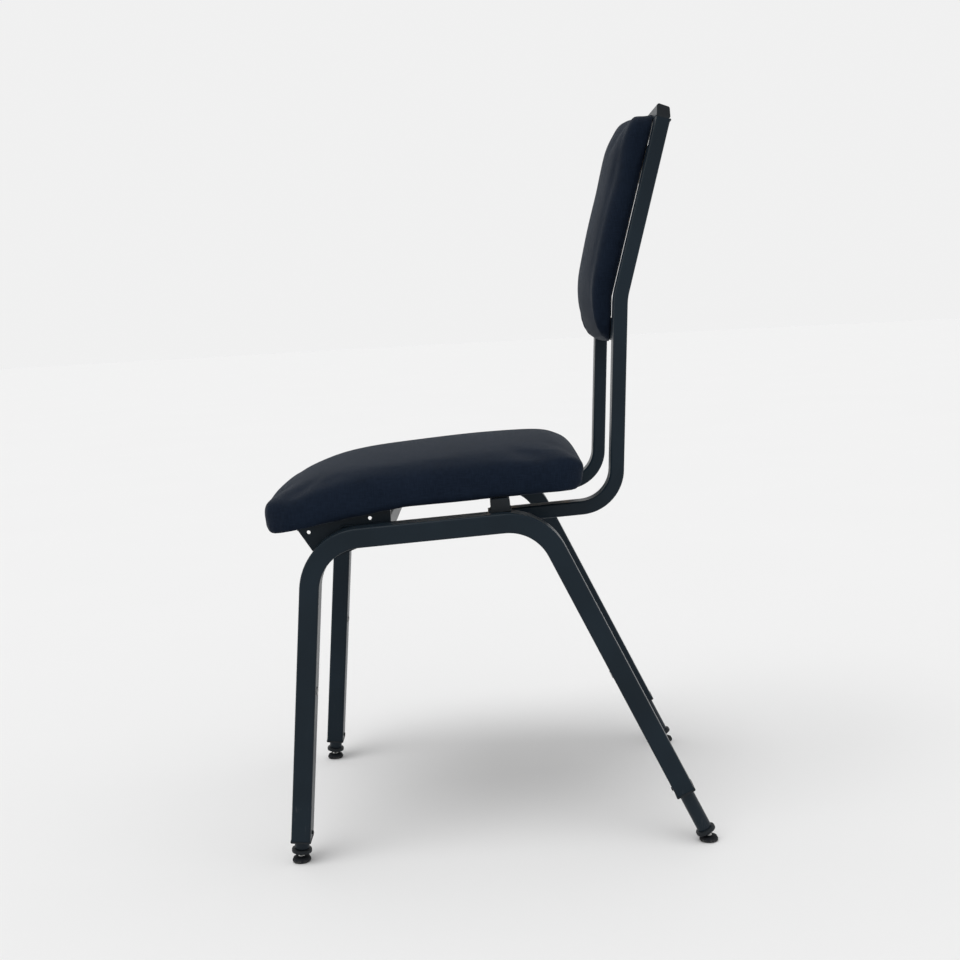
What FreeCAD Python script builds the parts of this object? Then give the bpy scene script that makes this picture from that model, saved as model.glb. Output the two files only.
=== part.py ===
"""Choir chair with telescopic legs.

Two bent side frames of rectangular tube carry a seat on a front carrier and a rear cross tube. Two bent
back tubes run under the rear cross tube and rise to a top rail. Each leg end holds a guide bush in which
a round inner leg slides, held by a clamp screw, and stands on a foot pad that tilts on a ball stud.

Millimetres. X is across the chair, the sitter faces -Y, +Z is up. The origin lies on the floor, midway
between the front of the seat and the rear feet, on the plane of symmetry.
"""
import FreeCAD, Part
import math
import os

V = FreeCAD.Vector

# Side frames, one bent rectangular tube each
FRAME_SPACING = 418.0        # between the middles of the two side frames
LEG_TUBE_WIDTH = 38.0        # across the chair
LEG_TUBE_DEPTH = 25.0        # in the plane of the bend
LEG_TUBE_WALL = 1.5
LEG_TUBE_CORNER = 3.0        # outer corner radius of the section
FRAME_BEND = 68.0            # radius of the bend at the middle of the tube
FRONT_LEG_Y = -257.2         # where the front leg's axis meets the floor
FRONT_LEG_LEAN = 5.7         # degrees from upright, foot forward
REAR_LEG_Y = 274.6           # where the rear leg's axis meets the floor
REAR_LEG_LEAN = 25.0         # degrees from upright, foot rearward
RAIL_HEIGHT = 429.3          # middle of the side rail at Y = 0
RAIL_RISE = 2.8              # degrees, higher at the rear

# Telescopic legs
INNER_LEG_DIA = 19.0
INNER_LEG_WALL = 1.5
INNER_LEG_LENGTH = 314.0     # from the foot plug's flange to the top of the guide block
FRONT_EXPOSED = 12.0         # inner leg seen between bush and foot, front, as photographed
REAR_EXPOSED = 57.0          # the same at the rear
RUNNING_FIT = 0.05           # radial play of a sliding or turning fit
PRESS_GAP = 0.02             # radial play of a piece that is pressed in
BUSH_LENGTH = 28.0
BUSH_FLANGE = 2.2
BUSH_LIP = 0.6               # how far the flange stands out past the tube
NUB_DIA = 5.0
NUB_PROUD = 1.8
NUB_HEIGHT = 6.5             # middle of the snap nub above the tube's end
BLOCK_LENGTH = 14.0          # guide block on top of the inner leg
BLOCK_SPIGOT = 10.0
BLOCK_CLEARANCE = 0.3        # guide block to the outer tube's wall

# Clamp screw in a threaded insert, on the inner side of each leg
CLAMP_FRONT = 194.5          # above the tube's end, along the leg
CLAMP_REAR = 177.5
INSERT_FLANGE_DIA = 10.5
INSERT_FLANGE = 1.3
INSERT_BODY_DIA = 8.6
INSERT_INSIDE = 1.0          # reach of the insert past the inner wall
CLAMP_THREAD_DIA = 6.0
CLAMP_SOCKET_AF = 3.0        # across the flats of the hexagon socket
CLAMP_SOCKET_DEPTH = 2.0
CLAMP_TIP_GAP = 0.3          # screw tip to inner leg
CLAMP_RECESS = 0.4           # outer end of the screw below the insert's flange

# Feet: flanged plug, ball stud and tilting pad
BALL_HEIGHT = 6.5
BALL_DIA = 9.0
STUD_DIA = 5.0
STUD_IN_PLUG = 12.0
PLUG_FLANGE_DIA = 26.0
PLUG_FLANGE = 6.0
PLUG_STANDOFF = 6.0          # ball centre to the flange's underside
PLUG_SPIGOT = 20.0
PAD_DIA = 24.0
PAD_NECK_DIA = 21.0
PAD_FACE_DIA = 14.0
PAD_COLLAR_DIA = 14.0
PAD_COLLAR_ABOVE = 1.5       # collar's top above the ball centre

# Cross members and front carrier
CROSS_DEPTH = 25.0
FRONT_CROSS_HEIGHT = 25.0
REAR_CROSS_HEIGHT = 22.0
CROSS_WALL = 1.5
FRONT_CROSS_Y = -132.5
REAR_CROSS_Y = 23.5
CROSS_END_IN = 1.0           # each end of the rear cross tube inside the middle of the rail
REAR_CROSS_NOTCH = 5.2       # how far the rear cross tube is let down over the rails
CARRIER_SHEET = 3.0
CARRIER_FRONT_Y = -236.5
CARRIER_REAR_Y = -116.0
CARRIER_TOE_Y = -208.0       # lower end of the sloping front edge
CARRIER_TOE_DROP = 43.3      # toe below the middle of the rail at Y = 0
CARRIER_HEEL_DROP = 9.3      # rear end of the web's lower edge below the same level
CARRIER_FLANGE = 28.0
CARRIER_HOLE_DIA = 5.0
CARRIER_HOLES = ((-221.7, 7.4), (-142.5, 5.8))  # Y and drop under the flange's top

# Back frame
BACK_SPACING = 268.0
BACK_TUBE_WIDTH = 30.0
BACK_TUBE_DEPTH = 18.0
BACK_TUBE_WALL = 1.5
BACK_TUBE_CORNER = 3.0
BACK_RUN_FRONT_Y = 10.5      # front end of the lower run
BACK_LOW_BEND = 50.0
BACK_HIGH_BEND = 80.0
BACK_CORNER_Y = 175.8        # where the lower run's and the upright's axes cross
BACK_LOW_LEAN = 3.57         # degrees from upright
BACK_HIGH_LEAN = 15.8
BACK_TOP_HEIGHT = 925.0      # middle of the upright's cut end, under the top rail
BACK_RAKED = 221.3           # height of the raked part, from the kink to the cut end
TOP_RAIL_FRONT = 16.2        # height of the top rail's front face
TOP_RAIL_REAR = 15.0         # and of its rear face
TOP_RAIL_TAPER = 0.8         # how far both faces lean in
TOP_RAIL_CORNER = 2.5
BACK_RAIL_HEIGHT = 30.0
LOWER_RAIL_UP = 16.0         # middle of the lower rail above the pad's lower edge
LOWER_SCREW_UP = 6.0         # its screws above its middle
UPPER_RAIL_DOWN = 45.0       # middle of the upper rail below the uprights' cut end
END_CAP_THICK = 2.0
END_CAP_SPIGOT = 10.0

# Seat
SEAT_SIDE_IN = 1.0           # widest part of each side inside the middle of the rail
SEAT_FRONT_Y = -280.0
SEAT_REAR_Y = 133.5
SEAT_FRONT_CORNER = 38.0     # corner radii seen from above
SEAT_REAR_CORNER = 30.0
SEAT_CROWN = 15.0            # rise of the middle over the side seams
SEAT_END_CROWN = 4.0         # the same at the front and rear ends
SEAT_CROWN_FADE = 60.0       # length over which it grows to the full crown
SEAT_SHOULDER = 22.0         # width of the rounding along the top of each side
SEAT_END_SHOULDER = 12.0     # the same at the ends
SEAT_DRAW_IN = 3.0           # how far the sides pull in half way along
SEAT_KINK_Y = -99.6          # where the underside turns down toward the front
SEAT_FRONT_FALL = 9.0        # degrees, underside in front of the kink
SEAT_BOARD_THICK = 10.0
SEAT_BOARD_INSET = 16.0
SEAT_BOARD_CORNER = 28.0
SOFT_GAP = 0.3               # foam to board
SEAT_OVERHANG = 2.5          # how far the covered foam hangs below the board at the sides
SEAT_OVERHANG_FADE = 180.0   # length over which it fades out toward the rear
SEAT_END_ROUND = 24.0        # how far the underside rises at the front and rear ends
SEAT_FRONT_ROUND = 20.0      # length of that rise at the front
SEAT_REAR_ROUND = 18.0       # and at the rear
SEAT_TOP_FRONT = (           # behind the front edge, crown above the rear cross tube
    (0.0, 5.8), (2.0, 11.5), (10.0, 16.6), (30.0, 23.9), (75.0, 40.0), (120.0, 48.8), (185.0, 54.9),
    (255.0, 59.8))
SEAT_TOP_REAR = (            # ahead of the rear edge, the same
    (88.5, 62.2), (48.5, 62.0), (25.5, 59.5), (11.5, 55.5), (3.0, 48.5), (0.0, 41.0))

# Back rest
BACK_PAD_SIDE_GAP = 1.0      # cushion to the inner face of each upright
BACK_PAD_BELOW = 56.7        # its lower edge below the kink of the uprights
BACK_PAD_ABOVE = 13.0        # its top above the uprights' cut end
BACK_PAD_CORNER = 30.0
BACK_PAD_CROWN = 9.0
BACK_PAD_SHOULDER = 22.0
BACK_PAD_DRAW_IN = 1.5
BACK_BOARD_THICK = 9.0
BACK_BOARD_INSET = 8.0
BACK_BOARD_CORNER = 24.0
BACK_PAD_LOW = (             # above the lower edge, front of the pad ahead of the uprights' front face
    (0.0, 6.0), (3.0, 11.0), (9.0, 18.0), (18.0, 23.5), (30.0, 28.0), (53.0, 33.6), (99.0, 38.8))
BACK_PAD_HIGH = (            # below the upper edge, the same
    (143.0, 40.6), (95.0, 40.4), (48.0, 39.0), (23.0, 37.2), (10.0, 35.2), (3.0, 33.0), (0.0, 28.0))

# Fasteners
SCREW_DIA = 6.0
SCREW_HOLE_GAP = 0.3         # radial
SCREW_HEAD_DIA = 12.0
SCREW_HEAD = 3.2
HEX_SOCKET_AF = 4.0
HEX_SOCKET_DEPTH = 2.0
TNUT_FLANGE_DIA = 17.0
TNUT_FLANGE = 1.2
TNUT_BARREL_DIA = 8.0
TNUT_BARREL = 6.5
BACK_SCREW_X = 70.0
FRONT_SCREW_YS = (-205.0, -165.0)
REAR_SCREW_XS = (-90.0, 90.0)

LEGS = (("front_left", 1, "front"), ("front_right", -1, "front"),
        ("rear_left", 1, "rear"), ("rear_right", -1, "rear"))


def tan(degrees):
    return math.tan(math.radians(degrees))


def cos(degrees):
    return math.cos(math.radians(degrees))


def sin(degrees):
    return math.sin(math.radians(degrees))


def save(name, shape):
    """Write one node as a STEP file."""
    shape.exportStep("parts/" + name + ".step")


def group(shapes):
    return shapes[0] if len(shapes) == 1 else Part.makeCompound(shapes)


def mirror_x(shape):
    return shape.mirror(V(0, 0, 0), V(1, 0, 0))


def crossing(p, d, q, e):
    """Point where the line from p along d meets the line from q along e, in the YZ plane."""
    det = d.y * -e.z + e.y * d.z
    t = ((q.y - p.y) * -e.z + e.y * (q.z - p.z)) / det
    return p + d * t


def fillet_path(points, radii):
    """Wire of straight runs joined by tangent arcs, one radius for each inner point."""
    edges = []
    start = points[0]
    for before, corner, after, radius in zip(points, points[1:], points[2:], radii):
        inward = (before - corner).normalize()
        outward = (after - corner).normalize()
        half = inward.getAngle(outward) / 2
        reach = radius / math.tan(half)
        first = corner + inward * reach
        last = corner + outward * reach
        centre = corner + (inward + outward).normalize() * (radius / math.sin(half))
        middle = centre + (corner - centre).normalize() * radius
        edges.append(Part.LineSegment(start, first).toShape())
        edges.append(Part.Arc(first, middle, last).toShape())
        start = last
    edges.append(Part.LineSegment(start, points[-1]).toShape())
    return Part.Wire(edges)


def rounded_section(centre, across, up, width, height, radius):
    """Closed wire of a rounded rectangle, width along across and height along up."""
    a, b = width / 2, height / 2
    k = radius * (1 - math.sqrt(0.5))

    def at(u, w):
        return centre + across * u + up * w

    edges = []
    for su, sw, turned in ((1, 1, False), (-1, 1, True), (-1, -1, False), (1, -1, True)):
        on_side = at(su * a, sw * (b - radius))
        on_top = at(su * (a - radius), sw * b)
        middle = at(su * (a - k), sw * (b - k))
        first, last = (on_top, on_side) if turned else (on_side, on_top)
        if edges:
            edges.append(Part.LineSegment(previous, first).toShape())
        else:
            opening = first
        edges.append(Part.Arc(first, middle, last).toShape())
        previous = last
    edges.append(Part.LineSegment(previous, opening).toShape())
    return Part.Wire(edges)


def bent_tube(points, radii, width, depth, wall, corner):
    """Rectangular tube along a path in a plane of constant X, with open ends."""
    path = fillet_path(points, radii)
    along = (points[1] - points[0]).normalize()
    across = V(1, 0, 0)
    up = along.cross(across)
    outer = path.makePipeShell([rounded_section(points[0], across, up, width, depth, corner)], True, False)
    inner = path.makePipeShell([rounded_section(points[0], across, up, width - 2 * wall, depth - 2 * wall,
                                                corner - wall)], True, False)
    return outer.cut(inner)


def block(centre, across, up, along, width, height, length, corner):
    """Rounded bar from centre, length along the third direction."""
    wire = rounded_section(centre, across, up, width, height, corner)
    return Part.Face(wire).extrude(along * length)


def straight_tube(centre, across, up, along, width, height, length, wall, corner):
    outer = block(centre, across, up, along, width, height, length, corner)
    inner = block(centre, across, up, along, width - 2 * wall, height - 2 * wall, length, corner - wall)
    return outer.cut(inner)


def rod(base, direction, radius, length):
    return Part.makeCylinder(radius, length, base, direction)


def hexagon(base, direction, across_flats, depth):
    """Hexagonal prism for a socket."""
    side = V(1, 0, 0) if abs(direction.x) < 0.9 else V(0, 1, 0)
    u = side.cross(direction).normalize()
    w = direction.cross(u)
    r = across_flats / math.sqrt(3)
    ring = [base + u * (r * cos(60 * i)) + w * (r * sin(60 * i)) for i in range(6)]
    return Part.Face(Part.makePolygon(ring + ring[:1])).extrude(direction * depth)


def turned(profile, base, axis):
    """Solid of revolution: profile is a closed list of (radius, height) with height along the axis."""
    side = V(1, 0, 0)
    pts = [base + side * r + axis * h for r, h in profile]
    face = Part.Face(Part.makePolygon(pts + pts[:1]))
    return face.revolve(base, axis, 360)


class Leg:
    """Axis of one leg and the places along it, all taken from the driving sizes."""

    def __init__(self, side, place):
        front = place == "front"
        lean = FRONT_LEG_LEAN if front else REAR_LEG_LEAN
        x = side * FRAME_SPACING / 2
        self.side = side
        self.up = V(0, sin(lean) if front else -sin(lean), cos(lean))
        floor_point = V(x, FRONT_LEG_Y if front else REAR_LEG_Y, 0)
        self.ball = floor_point + self.up * (BALL_HEIGHT / self.up.z)
        self.inward = V(0, self.up.z, -self.up.y) if front else V(0, -self.up.z, self.up.y)
        exposed = FRONT_EXPOSED if front else REAR_EXPOSED
        self.plug_top = self.ball + self.up * (PLUG_STANDOFF + PLUG_FLANGE)
        self.tube_end = self.plug_top + self.up * (exposed + BUSH_FLANGE)
        self.clamp = self.tube_end + self.up * (CLAMP_FRONT if front else CLAMP_REAR)


def side_frame(side):
    """Inverted U: front leg, rail and rear leg of one tube, drilled for nubs and clamp inserts."""
    front, rear = Leg(side, "front"), Leg(side, "rear")
    rail_point = V(side * FRAME_SPACING / 2, 0, RAIL_HEIGHT)
    rail_way = V(0, cos(RAIL_RISE), sin(RAIL_RISE))
    corner_front = crossing(front.ball, front.up, rail_point, rail_way)
    corner_rear = crossing(rear.ball, rear.up, rail_point, rail_way)
    tube = bent_tube([front.tube_end, corner_front, corner_rear, rear.tube_end], [FRAME_BEND, FRAME_BEND],
                     LEG_TUBE_WIDTH, LEG_TUBE_DEPTH, LEG_TUBE_WALL, LEG_TUBE_CORNER)
    for leg in (front, rear):
        tube = tube.cut(rod(leg.tube_end + leg.up * NUB_HEIGHT, leg.inward, NUB_DIA / 2 + SCREW_HOLE_GAP,
                            LEG_TUBE_DEPTH))
        tube = tube.cut(rod(leg.clamp, leg.inward, INSERT_BODY_DIA / 2 + PRESS_GAP, LEG_TUBE_DEPTH))
    return tube


def guide_bush(leg):
    """Plastic bush in the tube's end: flange, rectangular sleeve, round bore and snap nub."""
    across = V(1, 0, 0)
    gap = LEG_TUBE_WALL + PRESS_GAP
    flange = block(leg.tube_end - leg.up * BUSH_FLANGE, across, leg.inward, leg.up,
                   LEG_TUBE_WIDTH + 2 * BUSH_LIP, LEG_TUBE_DEPTH + 2 * BUSH_LIP, BUSH_FLANGE,
                   LEG_TUBE_CORNER)
    sleeve = block(leg.tube_end, across, leg.inward, leg.up, LEG_TUBE_WIDTH - 2 * gap,
                   LEG_TUBE_DEPTH - 2 * gap, BUSH_LENGTH, LEG_TUBE_CORNER - LEG_TUBE_WALL)
    nub = rod(leg.tube_end + leg.up * NUB_HEIGHT, leg.inward, NUB_DIA / 2,
              LEG_TUBE_DEPTH / 2 + NUB_PROUD)
    bore = rod(leg.tube_end - leg.up * BUSH_FLANGE, leg.up, INNER_LEG_DIA / 2 + RUNNING_FIT,
               BUSH_FLANGE + BUSH_LENGTH)
    return flange.fuse([sleeve, nub]).cut(bore).removeSplitter()


def inner_leg(leg):
    """Round steel tube between the foot plug's flange and the guide block."""
    length = INNER_LEG_LENGTH - BLOCK_LENGTH
    outer = rod(leg.plug_top, leg.up, INNER_LEG_DIA / 2, length)
    return outer.cut(rod(leg.plug_top, leg.up, INNER_LEG_DIA / 2 - INNER_LEG_WALL, length))


def guide_block(leg):
    """Plastic block on top of the inner leg that runs inside the outer tube."""
    base = leg.plug_top + leg.up * (INNER_LEG_LENGTH - BLOCK_LENGTH)
    gap = LEG_TUBE_WALL + BLOCK_CLEARANCE
    head = block(base, V(1, 0, 0), leg.inward, leg.up, LEG_TUBE_WIDTH - 2 * gap, LEG_TUBE_DEPTH - 2 * gap,
                 BLOCK_LENGTH, LEG_TUBE_CORNER - LEG_TUBE_WALL)
    radius = INNER_LEG_DIA / 2 - INNER_LEG_WALL - PRESS_GAP
    spigot = rod(base - leg.up * BLOCK_SPIGOT, leg.up, radius, BLOCK_SPIGOT)
    hollow = rod(base - leg.up * BLOCK_SPIGOT, leg.up, radius - 2.5, BLOCK_SPIGOT + BLOCK_LENGTH)
    return head.fuse(spigot).cut(hollow).removeSplitter()


def foot_plug(leg):
    """Flanged plastic plug in the inner leg, bored for the ball stud."""
    radius = PLUG_FLANGE_DIA / 2
    ease = 1.6
    spigot = INNER_LEG_DIA / 2 - INNER_LEG_WALL - PRESS_GAP
    profile = [(STUD_DIA / 2 + PRESS_GAP, 0), (radius - ease, 0), (radius - 0.4, 0.6), (radius, ease),
               (radius, PLUG_FLANGE - ease), (radius - 0.4, PLUG_FLANGE - 0.6), (radius - ease, PLUG_FLANGE),
               (spigot, PLUG_FLANGE), (spigot, PLUG_FLANGE + PLUG_SPIGOT - 1.5),
               (spigot - 1.5, PLUG_FLANGE + PLUG_SPIGOT), (STUD_DIA / 2 + PRESS_GAP, PLUG_FLANGE + PLUG_SPIGOT)]
    return turned(profile, leg.ball + leg.up * PLUG_STANDOFF, leg.up)


def ball_stud(leg):
    """Steel stud with the ball that the pad tilts on."""
    ball = Part.makeSphere(BALL_DIA / 2, leg.ball)
    shank = rod(leg.ball, leg.up, STUD_DIA / 2, PLUG_STANDOFF + STUD_IN_PLUG)
    return ball.fuse(shank).removeSplitter()


def foot_pad(leg):
    """Rubber-faced pad that stands flat on the floor and tilts on the ball."""
    base = V(leg.ball.x, leg.ball.y, 0)
    face, edge, neck, collar = (d / 2 for d in (PAD_FACE_DIA, PAD_DIA, PAD_NECK_DIA, PAD_COLLAR_DIA))
    top = BALL_HEIGHT + PAD_COLLAR_ABOVE
    body = turned([(0, 0), (face, 0), (edge - 0.6, 0.9), (edge, 2.0), (edge, 3.6), (edge - 0.5, 4.5),
                   (neck, 5.6), (neck, BALL_HEIGHT), (collar, top), (0, top)], base, V(0, 0, 1))
    return body.cut(Part.makeSphere(BALL_DIA / 2 + RUNNING_FIT, leg.ball))


def clamp_insert(leg):
    """Threaded insert, flange outside the tube."""
    wall_face = leg.clamp + leg.inward * (LEG_TUBE_DEPTH / 2)
    flange = rod(wall_face, leg.inward, INSERT_FLANGE_DIA / 2, INSERT_FLANGE)
    reach = LEG_TUBE_WALL + INSERT_INSIDE
    body = rod(wall_face - leg.inward * reach, leg.inward, INSERT_BODY_DIA / 2, reach)
    bore = rod(wall_face - leg.inward * reach, leg.inward, CLAMP_THREAD_DIA / 2 + RUNNING_FIT,
               reach + INSERT_FLANGE)
    return flange.fuse(body).cut(bore).removeSplitter()


def clamp_screw(leg):
    """Set screw with a hexagon socket, its tip just off the inner leg."""
    tip = leg.clamp + leg.inward * (INNER_LEG_DIA / 2 + CLAMP_TIP_GAP)
    end = LEG_TUBE_DEPTH / 2 + INSERT_FLANGE - CLAMP_RECESS
    length = end - INNER_LEG_DIA / 2 - CLAMP_TIP_GAP
    radius = CLAMP_THREAD_DIA / 2
    point = 0.8
    body = turned([(0, 0), (radius - point, 0), (radius, point), (radius, length), (0, length)],
                  tip, leg.inward)
    return body.cut(hexagon(tip + leg.inward * (length - CLAMP_SOCKET_DEPTH), leg.inward,
                            CLAMP_SOCKET_AF, CLAMP_SOCKET_DEPTH + 1))


# Seat underside: parallel to the rails at the rear, falling away in front of the kink
RAIL_WAY = V(0, cos(RAIL_RISE), sin(RAIL_RISE))
RAIL_UP = V(0, -sin(RAIL_RISE), cos(RAIL_RISE))
SEAT_WIDTH = FRAME_SPACING - 2 * SEAT_SIDE_IN
RAIL_INNER_FACE = FRAME_SPACING / 2 - LEG_TUBE_WIDTH / 2
FRONT_SCREW_X = RAIL_INNER_FACE - CARRIER_SHEET - CARRIER_FLANGE / 2
REAR_CROSS_END = FRAME_SPACING / 2 - CROSS_END_IN
RAIL_AT_CROSS = V(0, REAR_CROSS_Y, RAIL_HEIGHT + REAR_CROSS_Y * tan(RAIL_RISE))
CROSS_TOP = LEG_TUBE_DEPTH / 2 + REAR_CROSS_HEIGHT - REAR_CROSS_NOTCH
SEAT_REST = RAIL_AT_CROSS + V(0, 0, CROSS_TOP / cos(RAIL_RISE))
REAR_CROSS_MIDDLE = SEAT_REST - RAIL_UP * (REAR_CROSS_HEIGHT / 2)
SEAT_KINK_Z = SEAT_REST.z + (SEAT_KINK_Y - SEAT_REST.y) * tan(RAIL_RISE)
SEAT_TOP = ([(SEAT_FRONT_Y + behind, SEAT_REST.z + rise) for behind, rise in SEAT_TOP_FRONT]
            + [(SEAT_REAR_Y - ahead, SEAT_REST.z + rise) for ahead, rise in SEAT_TOP_REAR])


def underside(y):
    """Height of the seat's underside."""
    if y > SEAT_KINK_Y:
        return SEAT_KINK_Z + (y - SEAT_KINK_Y) * tan(RAIL_RISE)
    return SEAT_KINK_Z + (y - SEAT_KINK_Y) * tan(SEAT_FRONT_FALL)


def half_width(at, low, high, width, corners, draw_in):
    """Half width of a pad with round corners whose sides pull in half way along."""
    corner = corners[0] if at - low < high - at else corners[1]
    into = max(corner - min(at - low, high - at), 0)
    rounding = corner - math.sqrt(max(corner ** 2 - min(into, corner * 0.98) ** 2, 0))
    middle = (at - (low + high) / 2) / ((high - low) / 2)
    return width / 2 - rounding - draw_in * (1 - middle ** 2)


def pad_section(place, across, rise, half, height, crown, rounding):
    """Closed wire of a pad's section: flat rear, full sides and a crowned face."""
    tuck = min(7.0, 0.42 * height)
    shoulder = min(rounding, 0.8 * height)
    drop = min(crown, 0.45 * height)
    side = place + across * half + rise * (0.45 * (height - drop))
    low = place + across * (half - tuck)
    high = place + across * (half - shoulder) + rise * (height - drop)
    top = place + rise * height

    def flip(p):
        return p - across * (2 * (p - place).dot(across))

    return Part.Wire([
        Part.LineSegment(flip(low), low).toShape(),
        Part.Arc(low, side, high).toShape(),
        Part.Arc(high, top, flip(high)).toShape(),
        Part.Arc(flip(high), flip(side), flip(low)).toShape()])


def board(width, low, high, corner, profile):
    """Plywood panel: a side profile drawn across, trimmed to a plan with round corners."""
    plate = Part.Face(Part.makePolygon(profile + profile[:1])).extrude(V(width, 0, 0))
    plate.translate(V(-width / 2, 0, 0))
    upright = plate.BoundBox.YLength < plate.BoundBox.ZLength
    up = V(0, 0, 1) if upright else V(0, 1, 0)
    through = V(0, 1, 0) if upright else V(0, 0, 1)
    middle = (low + high) / 2
    box = plate.BoundBox
    start = V(0, box.YMin - 1, middle) if upright else V(0, middle, box.ZMin - 1)
    length = 2 + (box.YLength if upright else box.ZLength)
    return plate.common(block(start, V(1, 0, 0), up, through, width, high - low, length, corner))


def seat_board(grow):
    """Bent plywood seat board, or its pocket in the foam when grown."""
    low = SEAT_FRONT_Y + SEAT_BOARD_INSET + 8 - grow
    high = SEAT_REAR_Y - SEAT_BOARD_INSET + grow
    thick = SEAT_BOARD_THICK + grow
    dip = 0.0 if grow == 0 else 5.0
    ys = (low, SEAT_KINK_Y, high)
    profile = [V(0, y, underside(y) - dip) for y in ys] + [V(0, y, underside(y) + thick) for y in ys[::-1]]
    return board(SEAT_WIDTH - 2 * (SEAT_BOARD_INSET - grow), low, high, SEAT_BOARD_CORNER + grow, profile)


def seat_cushion():
    """Crowned foam on the seat board, with a rolled front edge."""
    sections = []
    for y, top in SEAT_TOP:
        from_end = min((y - SEAT_FRONT_Y) / SEAT_FRONT_ROUND, (SEAT_REAR_Y - y) / SEAT_REAR_ROUND, 1)
        hang = SEAT_OVERHANG * min((SEAT_REAR_Y - y) / SEAT_OVERHANG_FADE, 1)
        low = underside(y) - hang + SEAT_END_ROUND * (1 - from_end) ** 2
        half = half_width(y, SEAT_FRONT_Y, SEAT_REAR_Y, SEAT_WIDTH, (SEAT_FRONT_CORNER, SEAT_REAR_CORNER),
                          SEAT_DRAW_IN)
        full = sin(90 * min((y - SEAT_FRONT_Y) / SEAT_CROWN_FADE, (SEAT_REAR_Y - y) / SEAT_CROWN_FADE, 1))
        crown = SEAT_END_CROWN + (SEAT_CROWN - SEAT_END_CROWN) * full
        rounding = SEAT_END_SHOULDER + (SEAT_SHOULDER - SEAT_END_SHOULDER) * full
        sections.append(pad_section(V(0, y, low), V(1, 0, 0), V(0, 0, 1), half, top - low, crown, rounding))
    foam = Part.makeLoft(sections, True, False)
    reach = REAR_CROSS_END + END_CAP_THICK + SOFT_GAP
    room = block(REAR_CROSS_MIDDLE - V(reach, 0, 0), RAIL_WAY, RAIL_UP, V(1, 0, 0),
                 CROSS_DEPTH + 2 * SOFT_GAP, REAR_CROSS_HEIGHT + 2 * SOFT_GAP, 2 * reach, BACK_TUBE_CORNER)
    return foam.cut([seat_board(SOFT_GAP), room])


# Axis of the back tubes: a run under the rear cross tube, an upright and a raked top
BACK_RUN = REAR_CROSS_MIDDLE - RAIL_UP * (REAR_CROSS_HEIGHT / 2 + BACK_TUBE_DEPTH / 2)
LOW_WAY = V(0, sin(BACK_LOW_LEAN), cos(BACK_LOW_LEAN))
LOW_OUT = V(0, cos(BACK_LOW_LEAN), -sin(BACK_LOW_LEAN))
HIGH_WAY = V(0, sin(BACK_HIGH_LEAN), cos(BACK_HIGH_LEAN))
HIGH_OUT = V(0, cos(BACK_HIGH_LEAN), -sin(BACK_HIGH_LEAN))
BACK_START = BACK_RUN + RAIL_WAY * ((BACK_RUN_FRONT_Y - BACK_RUN.y) / RAIL_WAY.y)
BACK_CORNER = BACK_RUN + RAIL_WAY * ((BACK_CORNER_Y - BACK_RUN.y) / RAIL_WAY.y)
BACK_KINK = BACK_CORNER + LOW_WAY * ((BACK_TOP_HEIGHT - BACK_RAKED - BACK_CORNER.z) / LOW_WAY.z)
BACK_TOP = BACK_KINK + HIGH_WAY * (BACK_RAKED / HIGH_WAY.z)
BACK_PAD_TOP = BACK_TOP_HEIGHT + BACK_PAD_ABOVE
BACK_PAD_BOTTOM = BACK_KINK.z - BACK_PAD_BELOW
BACK_PAD_WIDTH = BACK_SPACING - BACK_TUBE_WIDTH - 2 * BACK_PAD_SIDE_GAP
BACK_PAD_DEPTH = ([(BACK_PAD_BOTTOM + above, depth) for above, depth in BACK_PAD_LOW]
                  + [(BACK_PAD_TOP - below, depth) for below, depth in BACK_PAD_HIGH])


def kink_ahead(distance):
    """Where the line a distance ahead of the uprights' axis bends."""
    bisector = (LOW_OUT + HIGH_OUT).normalize()
    return BACK_KINK - bisector * (distance / cos((BACK_HIGH_LEAN - BACK_LOW_LEAN) / 2))


def ahead_of_back(z, distance):
    """Point at height z, a distance ahead of the uprights' axis, on a line that bends with them."""
    kink = kink_ahead(distance)
    way = LOW_WAY if z < kink.z else HIGH_WAY
    return kink + way * ((z - kink.z) / way.z)


UPPER_RAIL_MIDDLE = ahead_of_back(BACK_TOP_HEIGHT - UPPER_RAIL_DOWN, 0)
LOWER_RAIL_MIDDLE = ahead_of_back(BACK_PAD_BOTTOM + LOWER_RAIL_UP, 0)


def back_tube(side):
    """Lower run, upright and raked top of one tube."""
    across = V(side * BACK_SPACING / 2, 0, 0)
    return bent_tube([BACK_START + across, BACK_CORNER + across, BACK_KINK + across, BACK_TOP + across],
                     [BACK_LOW_BEND, BACK_HIGH_BEND], BACK_TUBE_WIDTH, BACK_TUBE_DEPTH, BACK_TUBE_WALL,
                     BACK_TUBE_CORNER)


def back_rail(middle, way, out, screw_up):
    """Rail between the uprights, flush with their front, drilled for two screws."""
    reach = BACK_SPACING / 2 - BACK_TUBE_WIDTH / 2
    tube = straight_tube(middle - V(reach, 0, 0), way, out, V(1, 0, 0), BACK_RAIL_HEIGHT, BACK_TUBE_DEPTH,
                         2 * reach, BACK_TUBE_WALL, BACK_TUBE_CORNER)
    for x in (-BACK_SCREW_X, BACK_SCREW_X):
        tube = tube.cut(rod(middle + way * screw_up + V(x, 0, 0) - out * BACK_TUBE_DEPTH, out,
                            SCREW_DIA / 2 + SCREW_HOLE_GAP, 2 * BACK_TUBE_DEPTH))
    return tube


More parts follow.
